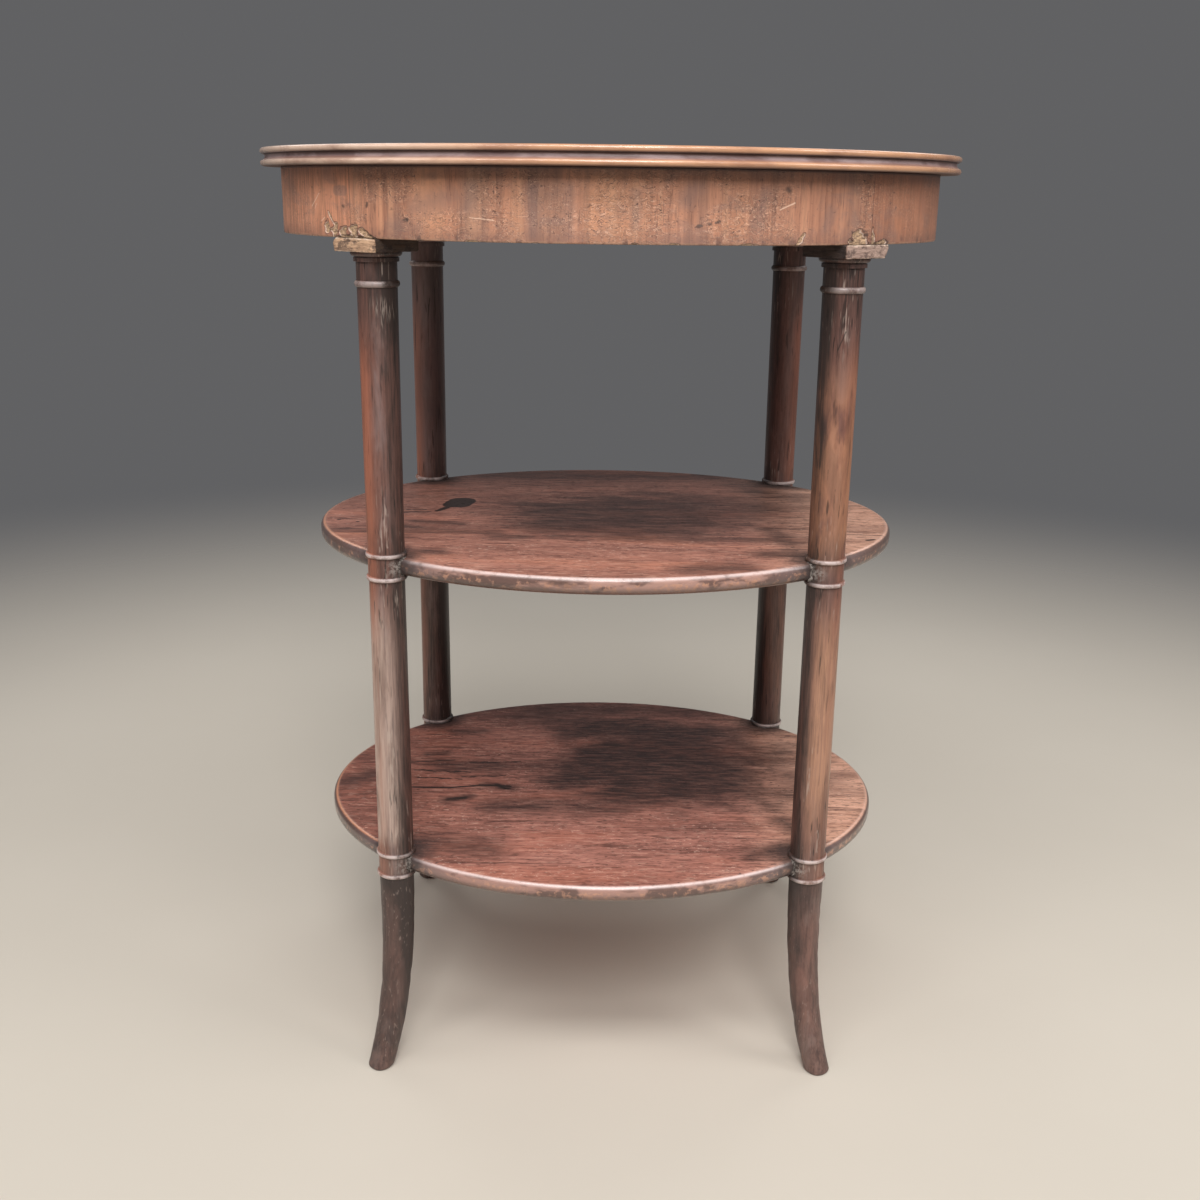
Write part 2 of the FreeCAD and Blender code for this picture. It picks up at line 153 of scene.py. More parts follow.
def veneer_sheet(name, start, finish, seed):
    """A sheet of veneer: an upright strip, front face up and back face down, carried along the apron's oval.

    The front face sinks by the depth of each chip, a tilted oval with an uneven outline whose torn rim lifts, rounds
    off at the lower arris, and swells a little between. A single face closes each end of the strip.
    """
    rows, columns = 64, 760
    chip_depth, rim_lift, arris_round, sag = 0.0012, 0.0005, 0.0005, 0.00007
    point, out = oval_walk(APRON_HALF_WIDTH, APRON_HALF_DEPTH, start, finish, columns)
    up = (APRON_HEIGHT * np.linspace(0, 1, rows) ** 1.2)[:, None]
    run = np.cumsum(np.concatenate([[0], np.hypot(*np.diff(point, axis=0).T)]))[None, :] + 0 * up
    uneven = ruffle(seed, 0.0065, run, up * 1.3)
    broken = np.full(run.shape, -9.0)
    for x, rise, half_length, half_height, tilt in CHIPS:
        turn = -math.acos(x / APRON_HALF_WIDTH)
        facing = np.array([APRON_HALF_DEPTH * math.cos(turn), APRON_HALF_WIDTH * math.sin(turn)])
        facing /= np.linalg.norm(facing)
        away = point - np.array([x, APRON_HALF_DEPTH * math.sin(turn)])
        along, off, high = away @ np.array([-facing[1], facing[0]]), away @ facing, up - rise
        flat_way = (along * math.cos(tilt) + high * math.sin(tilt)) / half_length
        steep_way = (high * math.cos(tilt) - along * math.sin(tilt)) / half_height
        inside = 1 - np.sqrt(flat_way**2 + steep_way**2 + (off / 0.02) ** 2) + 0.16 * uneven
        broken = np.maximum(broken, inside)
    nicks = 0.6 * (ruffle(seed + 1, 0.011, run, up * 0) - 1.2 - up / 0.0012)
    bare = ease(np.maximum(broken, nicks), -0.24, 0.42)
    layers = 0.7 + 0.3 * ease(ruffle(seed + 2, 0.006, run, up * 2.5), -0.2, 0.2)
    sunk = chip_depth * ease(bare, 0.35, 0.62) * layers - rim_lift * bare * (1 - bare) * (1 + uneven)
    sunk = sunk + arris_round * np.clip(1 - up / 0.0011, 0, 1) ** 2
    sunk = sunk + sag * (1 + ruffle(seed + 3, 0.04, run, up * 0.5) / 2.5)
    front = point[None] - out[None] * np.clip(sunk, -rim_lift, VENEER_THICKNESS - 0.0001)[..., None]
    back = (point - out * VENEER_THICKNESS)[None] + np.zeros((2, 1, 1))
    level = APRON_BOTTOM + up + 0 * run
    points = np.concatenate([np.dstack([front, level]), np.dstack([back, level[[-1, 0]]])])
    mark = np.concatenate([bare, 0 * bare[:2]])
    loop = np.arange(rows + 2) * columns
    ends = (loop, loop[::-1] + columns - 1)
    sheet = mesh_piece(name, points, grid_faces(rows + 2, columns, wrap_rows=True), ends)
    sheet.data.attributes.new("bare", "FLOAT", "POINT").data.foreach_set("value", mark.ravel().astype(np.float32))
    return sheet


def stacked_piece(name, plan, level, side_x, side_y, sharp_angle):
    """Rings of points stacked up by their levels, with a lid at each end.

    A ring's two measures go straight out of the oval and along it, from the middle of the column on that side.
    """
    out, along = np.array([OUT_X * side_x, OUT_Y * side_y]), np.array([-OUT_Y * side_y, OUT_X * side_x])
    ground = np.array([POST_X * side_x, POST_Y * side_y]) + plan[..., :1] * out + plan[..., 1:] * along
    levels, around = level.shape
    ring = np.arange(around)
    lids = (ring[::-1], (levels - 1) * around + ring)
    piece = mesh_piece(name, np.dstack([ground, level]), grid_faces(levels, around, wrap_columns=True), lids)
    piece.data.set_sharp_from_angle(angle=math.radians(sharp_angle))
    return piece


def abacus_block(name, side_x, side_y, seed):
    """A square block with a few broken arrises: rounded squares stacked up a profile that closes at both ends.

    Each level is a square whose points crowd towards its corners; the profile runs from the middle of the underside
    out, up the side and back to the middle of the top. Chips push the arrises in where a random swell is high, and
    the corner towards the end of the table is knocked off.
    """
    half = (ABACUS_HIGH.x - ABACUS_LOW.x) / 2 / (OUT_X + OUT_Y)
    thick = ABACUS_HIGH.z - ABACUS_LOW.z
    corner, arris, per_side = 0.0005, 0.0004, 48
    chip_depth, knock_depth = 0.0007, 0.0009
    slide = -np.cos(np.linspace(0, math.pi, per_side, endpoint=False))
    face = np.stack([np.ones(per_side), slide], -1)
    quarter = np.array([[0, 1], [-1, 0]])
    reach = half * np.concatenate([face @ np.linalg.matrix_power(quarter, count) for count in range(4)])
    inner = np.clip(reach, corner - half, half - corner)
    away = reach - inner
    length = np.linalg.norm(away, axis=1, keepdims=True)
    square = inner + away / np.maximum(length, 1e-9) * np.minimum(length, corner)
    bend = np.linspace(0, math.pi / 2, 5)[1:]
    flat, wall = np.linspace(0.02, 1 - arris / half, 16), np.linspace(arris, thick - arris, 14)[1:-1]
    outward, inward = 1 - arris / half * (1 - np.sin(bend)), 1 - arris / half * (1 - np.cos(bend))
    shrink = np.concatenate([flat, outward, 1 + 0 * wall, inward, flat[:-1][::-1]])
    low_bend, high_bend = arris * (1 - np.cos(bend)), thick - arris * (1 - np.sin(bend))
    climb = np.concatenate([0 * flat, low_bend, wall, high_bend, thick + 0 * flat[1:]])
    plan = square[None] * shrink[:, None, None]
    up = climb[:, None] + 0 * plan[..., 0]
    swell = ruffle(seed, 0.007, plan[..., 0], plan[..., 1], up)
    edge_up = np.minimum(up, thick - up)
    rim = ease(np.abs(plan).max(-1), half - 0.003, half)
    chips = chip_depth * np.exp(-((edge_up / 0.001) ** 2)) * rim * ease(swell, 0.6, 1.7)
    end_sign = -side_x * side_y
    knocked = ease(plan[..., 0] / half, 0.8, 1.0) * ease(plan[..., 1] * end_sign / half, 0.8, 1.0)
    worn = chips + knock_depth * knocked * (0.6 + 0.3 * swell)
    worn = np.clip(worn + 0.00005 * rim * (1 + swell / 2.5), 0, 0.004)
    level = ABACUS_LOW.z + up + np.where(up < thick / 2, 0.6, -0.6) * chips
    return stacked_piece(name, plan * (1 - worn / half)[..., None], level, side_x, side_y, 32)


def foot_half(share):
    """Half size and power of the foot's section at a share of its height.

    The section is where the two distances from the middle, each raised to the power, add up to the half size raised
    to it: near a circle at the column, squarer at the toe. It reaches as far as a square with round corners does.
    """
    width = FOOT_TOE_WIDTH + (FOOT_TOP_WIDTH - FOOT_TOE_WIDTH) * share
    corner = width * (0.33 + 0.15 * share)
    diagonal = (width - 2 * corner) / math.sqrt(2) + corner
    power = 2.35 - 0.3 * share
    return diagonal / 2 ** (0.5 - 1 / power), power


def sabre_foot(name, side_x, side_y, seed):
    """A sabre foot: sections stacked up a sweep that grows with the cube of the share of the way down.

    The profile runs from the middle of the sole out, round the toe's edge, up to the column, in to the pin and up it.
    Each section is worn in a little where a random swell is high.
    """
    few, many, around = 8, 72, 72
    sole, bend = np.linspace(0.04, 1, few), np.linspace(0, math.pi / 2, few)[1:]
    wall = np.linspace(FOOT_TOE_ROUND / FOOT_HEIGHT, 1, many)[1:]
    edge = FOOT_TOE_ROUND * (1 - np.cos(bend)) / FOOT_HEIGHT
    share = np.concatenate([0 * sole, edge, wall, [1, 1]])
    size, power = foot_half(share)
    size[:few] *= sole * (1 - FOOT_TOE_ROUND / size[0])
    size[few : 2 * few - 1] -= FOOT_TOE_ROUND * (1 - np.sin(bend))
    size[-2:], power[-2:] = FOOT_PIN_RADIUS, 2
    level = FOOT_HEIGHT * share
    level[-1] = FOOT_PIN_TOP
    angle = np.linspace(0, 2 * math.pi, around, endpoint=False)
    turn = np.stack([np.cos(angle), np.sin(angle)], -1)
    plan = size[:, None, None] * np.sign(turn) * np.abs(turn) ** (2 / power[:, None, None])
    up = level[:, None] + 0 * plan[..., 0]
    swell = ruffle(seed, 0.011, plan[..., 0], plan[..., 1], 0.6 * up)
    shaft = ease(up, 0.002, 0.02) * ease(up, FOOT_HEIGHT, FOOT_HEIGHT - 0.02)
    worn = (0.0001 * swell + 0.0003 * ease(swell, 0.9, 2.0)) * shaft
    plan = plan * (1 - worn / size[:, None])[..., None]
    plan[..., 0] += FOOT_SPLAY * (1 - share[:, None]) ** 3
    return stacked_piece(name, plan, up, side_x, side_y, 45)


def shelf_inset(x, y):
    """Distance in from the shelf's edge: one less the sum of squares, over the length of its slope."""
    share = (x / SHELF_HALF_WIDTH) ** 2 + (y / SHELF_HALF_DEPTH) ** 2
    return (1 - share) / (2 * np.hypot(x / SHELF_HALF_WIDTH**2, y / SHELF_HALF_DEPTH**2))


def round_drop(radius, inset):
    """How far a quarter round of a radius falls away at a distance in from the edge."""
    return radius - np.sqrt(np.clip(radius**2 - np.clip(radius - inset, 0, None) ** 2, 0, None))


def unit(vectors):
    return vectors / np.linalg.norm(vectors, axis=-1, keepdims=True)


def grime_beads(name, shelf_top, seed):
    """Old glue and dust where a shelf meets its columns: a lumpy tube along each line where the two touch.

    The line goes round the column over the shelf, over the shelf's rounded edge and back underneath. Its height
    follows the rounds of the edge by the distance from the oval; the tube's radius swells and thins at random.
    """
    count, around = 260, 12
    radius = COLLAR_RADIUS + 0.0001
    way = np.linspace(0, 2 * math.pi, count, endpoint=False)
    turn = np.linspace(0, 2 * math.pi, around, endpoint=False)
    points, faces = [], []
    for index, (side_x, side_y) in enumerate(SIDES.values()):
        fine = math.atan2(-OUT_Y * side_y, -OUT_X * side_x) + np.linspace(-math.pi, math.pi, 4001)
        inset = shelf_inset(POST_X * side_x + radius * np.cos(fine), POST_Y * side_y + radius * np.sin(fine))
        on = fine[inset > 0.00005]
        angle = (on[-1] + on[0]) / 2 + (on[-1] - on[0]) / 2 * np.sin(way)
        x, y = POST_X * side_x + radius * np.cos(angle), POST_Y * side_y + radius * np.sin(angle)
        inset = np.clip(shelf_inset(x, y), 0, 1)
        over = shelf_top - round_drop(SHELF_TOP_ROUND, inset)
        under = shelf_top - SHELF_THICKNESS + round_drop(SHELF_UNDER_ROUND, inset)
        line = np.stack([x, y, np.where(np.cos(way) > 0, over, under)], -1)
        tangent = unit(np.roll(line, -1, 0) - np.roll(line, 1, 0))
        lift = unit(np.cross(tangent, np.stack([np.cos(angle), np.sin(angle), 0 * angle], -1)))
        outward = np.cross(lift, tangent)
        edge = np.exp(-((inset / 0.005) ** 2))
        place = line.T[..., None] + 0.0012 * np.stack([np.cos(turn), np.sin(turn), turn])[:, None]
        lump, crumb = ruffle(seed + index, 0.005, *place), ruffle(seed + 40 + index, 0.0015, *place)
        thick = (0.0005 + 0.0012 * edge)[:, None] * np.clip(0.85 + 0.5 * lump + 0.3 * crumb, 0.15, 2.0)
        ring = np.cos(turn)[:, None] * outward[:, None] + np.sin(turn)[:, None] * lift[:, None]
        points.append((line[:, None] + ring * thick[..., None]).reshape(-1, 3))
        faces.append(grid_faces(count, around, True, True, first=index * count * around))
    return mesh_piece(name, np.concatenate(points), np.concatenate(faces))


HERE = (0, 0, 0)
UPRIGHT = (0, math.pi / 2, 0)


def feed(socket, value):
    """Links a socket to what another node puts out, or sets it to a plain number or tuple."""
    if isinstance(value, Value):
        value.tree.links.new(value.socket, socket)
    else:
        socket.default_value = value


class Value:
    """What a node puts out, with plain arithmetic: every step adds a node to the same tree."""

    def __init__(self, tree, socket):
        self.tree, self.socket = tree, socket

    def node(self, kind, inputs, output=0, **settings):
        node = self.tree.nodes.new(kind)
        for field, value in settings.items():
            setattr(node, field, value)
        for key, value in inputs.items():
            feed(node.inputs[key], value)
        return Value(self.tree, node.outputs[output])

    def math(self, operation, *values):
        return self.node("ShaderNodeMath", dict(enumerate(values)), operation=operation)

    def __add__(self, other):
        return self.math("ADD", self, other)

    def __mul__(self, other):
        return self.math("MULTIPLY", self, other)

    __radd__, __rmul__ = __add__, __mul__

    def __sub__(self, other):
        return self.math("SUBTRACT", self, other)

    def __rsub__(self, other):
        return self.math("SUBTRACT", other, self)

    def __truediv__(self, other):
        return self.math("DIVIDE", self, other)

    def __abs__(self):
        return self.math("ABSOLUTE", self)

    def sqrt(self):
        return self.math("SQRT", self)

    def at_most(self, other):
        return self.math("MINIMUM", self, other)

    def over(self, *others):
        for other in others:
            self = self.math("MAXIMUM", self, other)
        return self

    def ramp(self, low, high, to_low=0, to_high=1):
        """A smooth S from one value at low to another at high."""
        inputs = {0: self, 1: low, 2: high, 3: to_low, 4: to_high}
        return self.node("ShaderNodeMapRange", inputs, interpolation_type="SMOOTHSTEP")

    def hump(self, centre, half):
        """1 at the centre, falling smoothly to 0 at a half width either side."""
        return abs(self - centre).ramp(half, 0)

    def blend(self, first, second):
        """From the first colour to the second by this share."""
        colours = [(*tone, 1) if isinstance(tone, tuple) else tone for tone in (first, second)]
        return self.node("ShaderNodeMix", {0: self, 6: colours[0], 7: colours[1]}, 2, data_type="RGBA")

    def parts(self):
        first = self.node("ShaderNodeSeparateXYZ", {0: self})
        return [Value(self.tree, socket) for socket in first.socket.node.outputs]

    def vector(self, operation, *values):
        output = "Value" if operation in ("LENGTH", "DISTANCE", "DOT_PRODUCT") else "Vector"
        return self.node("ShaderNodeVectorMath", dict(enumerate((self, *values))), output, operation=operation)

    def scaled(self, share):
        return self.node("ShaderNodeVectorMath", {"Vector": self, "Scale": share}, operation="SCALE")

    def stretch(self, scale, turn=HERE, shift=HERE):
        return self.node("ShaderNodeMapping", {"Vector": self, "Scale": scale, "Rotation": turn, "Location": shift})

    def noise(self, scale, detail=2, roughness=0.5, distortion=0, output=0):
        inputs = {"Vector": self, "Scale": scale, "Detail": detail, "Roughness": roughness, "Distortion": distortion}
        return self.node("ShaderNodeTexNoise", inputs, output)

    def group(self, tree, **inputs):
        """What a shared effect puts out at this place: one value, or a list of them."""
        node = self.tree.nodes.new("ShaderNodeGroup")
        node.node_tree = tree
        for label, value in {"Place": self, **inputs}.items():
            feed(node.inputs[label], value)
        made = [Value(self.tree, socket) for socket in node.outputs]
        return made if len(made) > 1 else made[0]


def shader_group(name, inputs, outputs, work):
    """A shared effect: named inputs with their usual values, named outputs, and the work between them."""
    tree = bpy.data.node_groups.new(name, "ShaderNodeTree")
    for label, value in inputs.items():
        kind = "NodeSocketVector" if isinstance(value, tuple) else "NodeSocketFloat"
        tree.interface.new_socket(label, in_out="INPUT", socket_type=kind).default_value = value
    for label in outputs:
        tree.interface.new_socket(label, in_out="OUTPUT", socket_type="NodeSocketFloat")
    given = tree.nodes.new("NodeGroupInput").outputs
    made = work(*[Value(tree, given[label]) for label in inputs])
    put_out = tree.nodes.new("NodeGroupOutput")
    for label, value in zip(outputs, made):
        feed(put_out.inputs[label], value)
    return tree


def fibre_work(place):
    """Figure, threads, dark streaks and short pores, all drawn out along the grain by the place that is given."""
    figure = place.noise(30, 4, 0.55, 0.6).ramp(0.3, 0.7)
    thread = place.noise(330, 4, 0.65).ramp(0.37, 0.63)
    streak = place.noise(150, 4, 0.62, 0.3).ramp(0.56, 0.66)
    pore = place.stretch((2, 1, 1)).noise(800).ramp(0.59, 0.68)
    return figure, thread, streak, pore


def inset_work(place, half_width, half_depth):
    """Distance in from an oval's edge: one less the sum of squares, over the length of its slope."""
    x, y, _ = place.parts()
    across, back = x / half_width, y / half_depth
    slope_x, slope_y = across / half_width, back / half_depth
    slope = (slope_x * slope_x + slope_y * slope_y + 1e-6).sqrt()
    return ((1 - (across * across + back * back)) / (2 * slope),)


def post_work(place):
    """The nearest column's own frame: distance from its axis, straight out of the oval, and away from the middle."""
    x, y, _ = place.parts()
    across, back = abs(x) - POST_X, abs(y) - POST_Y
    return (across * across + back * back).sqrt(), OUT_X * across + OUT_Y * back, across


def stroke_work(place, warp, start, end, width, torn, core):
    """A mark along a straight line between two points: full within its core, gone at its width, its outline torn."""
    line = end.vector("SUBTRACT", start)
    away = place.vector("ADD", warp.scaled(torn)).vector("SUBTRACT", start)
    share = away.vector("DOT_PRODUCT", line) / line.vector("DOT_PRODUCT", line)
    gap = away.vector("DISTANCE", line.scaled(share.over(0).at_most(1)))
    return (gap.ramp(width, width * core),)


def scuff_work(place):
    """Short scuffs along the grain, in patches: the crests of a drawn-out noise where a broad one is high."""
    return (place.noise(480, 2, 0.55).ramp(0.61, 0.7) * place.noise(38).ramp(0.42, 0.58),)


def patina_work(place, scale):
    """Uneven dark polish: cloudy patches with a torn edge."""
    return (place.noise(scale, 6, 0.62, 0.8).ramp(0.45, 0.62),)


FIBRE = shader_group("wood_fibre", {"Place": HERE}, ("Figure", "Thread", "Streak", "Pore"), fibre_work)
OVAL = {"Place": HERE, "Half Width": SHELF_HALF_WIDTH, "Half Depth": SHELF_HALF_DEPTH}
INSET = shader_group("oval_inset", OVAL, ("Inset",), inset_work)
POST = shader_group("column_frame", {"Place": HERE}, ("Reach", "Out", "Away"), post_work)
LINE = {"Place": HERE, "Warp": HERE, "From": HERE, "To": HERE, "Width": 0.001, "Torn": 0, "Core": 0.5}
STROKE = shader_group("placed_mark", LINE, ("Mark",), stroke_work)
SCUFF = shader_group("scuffs", {"Place": HERE}, ("Mark",), scuff_work)
PATINA = shader_group("dark_patina", {"Place": HERE, "Scale": 14}, ("Mark",), patina_work)


def tearing(place, scale):
    """A wandering offset of up to half a unit each way."""
    return place.noise(scale, 3, 0.6, output=1).vector("SUBTRACT", (0.5, 0.5, 0.5))


def marks(place, warp, strokes):
    """The strongest of several placed marks: from, to, width, how torn and how wide a core."""
    labels = ("From", "To", "Width", "Torn", "Core")
    drawn = [place.group(STROKE, Warp=warp, **dict(zip(labels, stroke))) for stroke in strokes]
    return drawn[0].over(*drawn[1:])


def placed_marks(*rows, level=None):
    """Placed marks from rows in millimetres: from, to, width and how torn, then how wide a core as a share.

    A shelf's level stands in for the height that its rows leave out.
    """
    placed = []
    for *lengths, core in rows:
        *ends, width, torn = [length / 1000 for length in lengths]
        half, height = len(ends) // 2, [] if level is None else [level]
        placed.append(((*ends[:half], *height), (*ends[half:], *height), width, torn, core))
    return placed


def finish_material(name, paint, bump_depth, **shader_values):
    """A material whose paint gives colour, roughness, height and perhaps a coat; plain values stay on the shader."""
    material = bpy.data.materials.new(name)
    material.use_nodes = True
    tree = material.node_tree
    shader = tree.nodes["Principled BSDF"].inputs
    place = Value(tree, tree.nodes.new("ShaderNodeTexCoord").outputs["Object"])
    colour, roughness, height, *coat = paint(place)
    feed(shader["Base Color"], colour)
    feed(shader["Roughness"], roughness)
    if coat:
        feed(shader["Coat Weight"], coat[0])
    bump = {"Strength": 1, "Distance": bump_depth, "Height": height}
    feed(shader["Normal"], place.node("ShaderNodeBump", bump))
    for label, value in shader_values.items():
        shader[label].default_value = value
    return material


def shade(tone, *shares):
    """A tone with its parts taken down to their shares; one share serves for all three."""
    return tuple(part * share for part, share in zip(tone, shares * 3))


def wood_tone(wood, tones, streak_share, pore_share):
    """The base of every wood here: figure and threads between two tones, with streaks and pores drawn over."""
    figure, thread, streak, pore = wood
    colour = (0.48 * figure + 0.52 * thread).blend(tones["deep"], tones["light"])
    return coats(colour, tones, (streak_share * streak, "streak"), (pore_share * pore, "pore"))


def coats(colour, tones, *layers):
    """Lays tones over a colour, one after another, each by its own mask; a tone goes by its name where it has one."""
    for mask, tone in layers:
        colour = mask.blend(colour, tones.get(tone, tone))
    return colour


NEAR_BLACK = (0.019, 0.014, 0.012)
DUST_GREY = (0.446, 0.392, 0.351)

SHELF_TONES = {
    "pore": (0.041, 0.019, 0.016),
    "fleck": (0.86, 0.57, 0.45),
    "pale_dash": (0.81, 0.499, 0.378),
    "smoke_and_shade": (0.028, 0.018, 0.017),
    "edge_smear": (0.108, 0.064, 0.055),
    "edge_grime": (0.162, 0.121, 0.121),
    "edge_chafed": (0.66, 0.345, 0.222),
    "edge_streak": (0.135, 0.074, 0.058),
    # Painted highlight on the front arris, partly rubbed wear, and painted shade under the rounded edge
    "arris": (0.837, 0.648, 0.601),
    "under_edge": (0.095, 0.061, 0.05),
    "halo": (0.041, 0.028, 0.026),
}
# Painted light: the tones of the lighter right end of each shelf
LIT_END_DEEP, LIT_END_LIGHT = (0.486, 0.243, 0.159), (0.918, 0.54, 0.385)
LEFT_LINE, RIGHT_LINE = (0.756, 0.324, 0.162), (0.81, 0.459, 0.324)
EDGE_TIP = (0.101, 0.059, 0.047)


def shelf_paint(deep, light, red, edge_pale, left_shade, top, smoke_and_shade, smoke_and_shade_marks, dark_marks):
    """Shelf: streaky grain along the length; sooty stains with painted shade in the middle and at the back; a lighter
    right end and a darker left end as painted light and shade; a rubbed arris with a painted highlight at the front
    and painted shade under the rounded edge; grey grime on the edge and a dark ring round each column.
    """

    def paint(place):
        x, y, z = place.parts()
        wood = place.stretch((0.11, 0.9, 0.8), shift=(0, 3 * red[0], 0)).group(FIBRE)
        thread, streak, pore = wood[1:]
        # Painted light and shade: each shelf lighter towards its right end and darker towards its left end
        lit_end, shaded = x.ramp(0.1, 0.2, 0, 0.85), x.ramp(-0.05, -0.19, 0, left_shade)
        dull = shaded.blend(lit_end.blend(deep, LIT_END_DEEP), shade(deep, 0.45, 0.34, 0.3))
        bright = shaded.blend(lit_end.blend(light, LIT_END_LIGHT), shade(light, 0.56, 0.4, 0.33))
        tones = SHELF_TONES | {"deep": dull, "light": bright, "streak": shade(deep, 0.3)}
        broad = place.stretch((0.14, 0.7, 1)).noise(24, 4, 0.58, 0.3)
        fleck = place.stretch((0.55, 0.95, 0.8)).group(SCUFF)
        dash = place.stretch((0.26, 1, 1)).noise(300)
        # Sooty stains with painted shade: darker in the middle and at the back where the tier above shades the board,
        # and along the top's shadow edge on the mid shelf's front board
        centre_x, centre_y, half_x, half_y, share = smoke_and_shade
        off_x, off_y = (x - centre_x) / half_x, (y - centre_y) / half_y
        drift = place.stretch((0.4, 0.8, 1)).noise(22, 4, 0.58, 0.5)
        torn = (off_x * off_x + off_y * off_y).sqrt() + 1.7 * (drift - 0.5)
        clouds = marks(place, tearing(place.stretch((0.5, 1, 1)), 26), smoke_and_shade_marks)
        smoke_and_shade_mask = (share * torn.ramp(1.25, 0.45)).over(0.7 * clouds)
        smoke_and_shade_mask = smoke_and_shade_mask * thread.ramp(0, 1, 1, 0.8) * z.ramp(top - 0.01, top - 0.006)
        colour = coats(
            wood_tone(wood, tones, 0.6, 0.72),
            tones,
            (0.55 * broad.ramp(0.5, 0.66) * (1 - lit_end), red),
            (0.5 * broad.ramp(0.46, 0.3), shade(deep, 0.5)),
            (0.42 * fleck, "fleck"),
            (dash.ramp(0.57, 0.66, 0, 0.2), "pale_dash"),
            (dash.ramp(0.43, 0.34, 0, 0.38), shade(deep, 0.35)),
            (smoke_and_shade_mask, "smoke_and_shade"),
        )
        inset, reach = place.group(INSET), place.group(POST)[0]
        speck = place.noise(190, 4, 0.65)
        smear = place.stretch((0.35, 0.6, 1)).noise(46, 4, 0.62)
        tip = abs(x).ramp(0.14, 0.19)
        line = inset.hump(0.0029, 0.0019) * speck.ramp(0.25, 0.45, 0.4, 1) * tip
        edge = inset.ramp(0.0034, 0.001) * (1 - z.ramp(top - 0.0014, top - 0.0003))
        chafed = speck.ramp(0.5, 0.62) * z.ramp(top - 0.003, top - 0.007)
        edge_tone = coats(
            tip.blend(edge_pale, EDGE_TIP),
            tones,
            (0.88 * smear.ramp(0.46, 0.54), "edge_smear"),
            (reach.ramp(0.075, 0.03, 0, 0.7), "edge_grime"),
            (0.8 * chafed, "edge_chafed"),
            (0.5 * streak, "edge_streak"),
        )
        # Painted highlight, partly rubbed wear: a pale line along the top of the rounded edge at the front, where the
        # lamps catch it
        arris = inset.hump(0.0016, 0.0017) * z.ramp(top - 0.0042, top - 0.0024) * speck.ramp(0.3, 0.5, 0.55, 1)
        arris = arris * (1 - tip) * reach.ramp(0.03, 0.06, 0.5, 0.8)
        # Painted shade: the lower half of the rounded edge, which faces down, darker
        under_edge = z.ramp(top - 0.005, top - 0.0115) * inset.ramp(0.009, 0.003)
        halo = (reach + 0.02 * (speck - 0.5)).ramp(0.04, 0.016)
        spill = marks(place, tearing(place.stretch((0.4, 1, 1)), 130), dark_marks)
        colour = coats(
            colour,
            tones,
            (0.7 * line, x.ramp(-0.1, 0.1).blend(LEFT_LINE, RIGHT_LINE)),
            (0.9 * edge, edge_tone),
            (arris, "arris"),
            (0.7 * under_edge, "under_edge"),
            (0.85 * halo, "halo"),
            (0.94 * spill, NEAR_BLACK),
        )
        roughness = 0.35 + 0.12 * broad + 0.1 * pore + 0.3 * halo
        height = 0.35 * thread - 0.35 * streak - 0.4 * pore + 0.25 * speck - 0.3 * fleck
        return colour, roughness, height, inset.ramp(0.006, 0.003, 0, 0.95)

    return paint


COLUMN_RUBS = placed_marks(
    (-166.5, -161.4, 630, -158.5, -157, 626, 9.5, 6, 0),
    (-171.8, -161.3, 449, -166.5, -161.4, 476, 3.4, 3, 0.1),
    (-165.2, -161.1, 452, -167.2, -161.5, 488, 2.2, 3, 0.3),
    (165, -161.1, 290, 162.7, -160.3, 245, 3, 3, 0.2),
    (174.5, -160.4, 218, 175.2, -160.2, 201, 3, 3, 0.3),
    (170, -161.5, 625, 171.2, -161.4, 610, 4, 4, 0.1),
    (-169, -161.6, 300, -167, -161.5, 210, 6, 6, 0),
)
COLUMN_CRACKS = placed_marks(
    (165.7, -161.2, 603.2, 170.6, -161.5, 616.1, 0.6, 0.8, 0.5),
    (159.2, -157.7, 461, 159, -157.6, 448, 0.6, 1.2, 0.4),
    (162.2, -160, 468, 162, -159.9, 450, 0.5, 1.2, 0.4),
    (166, -161.3, 462, 165.9, -161.3, 449, 0.5, 1.2, 0.4),
    (164, -160.7, 515, 163.7, -160.6, 501, 0.5, 1.2, 0.4),
    (170.2, -161.5, 500, 170, -161.5, 482, 0.5, 1.2, 0.4),
)
COLUMN_TONES = {
    "deep": (0.135, 0.063, 0.05),
    "light": (0.236, 0.115, 0.089),
    "streak": (0.054, 0.028, 0.024),
    "pore": NEAR_BLACK,
    # Painted light: a redder lit rim on the outer side, and a lit patch on the right front column
    "lit_red_rim": (0.472, 0.165, 0.095),
    "lit_glow": (0.54, 0.243, 0.128),
    "film": (0.27, 0.189, 0.176),
    # Dark polish, also laid as painted shade through the column's dark mask
    "polish": (0.032, 0.023, 0.02),
    "rear_film": (0.23, 0.176, 0.169),
    "scuff": (0.513, 0.405, 0.338),
    "ring": (0.675, 0.553, 0.52),
}
LEFT_SHIN, RIGHT_SHIN = (0.61, 0.455, 0.375), (0.5, 0.262, 0.162)


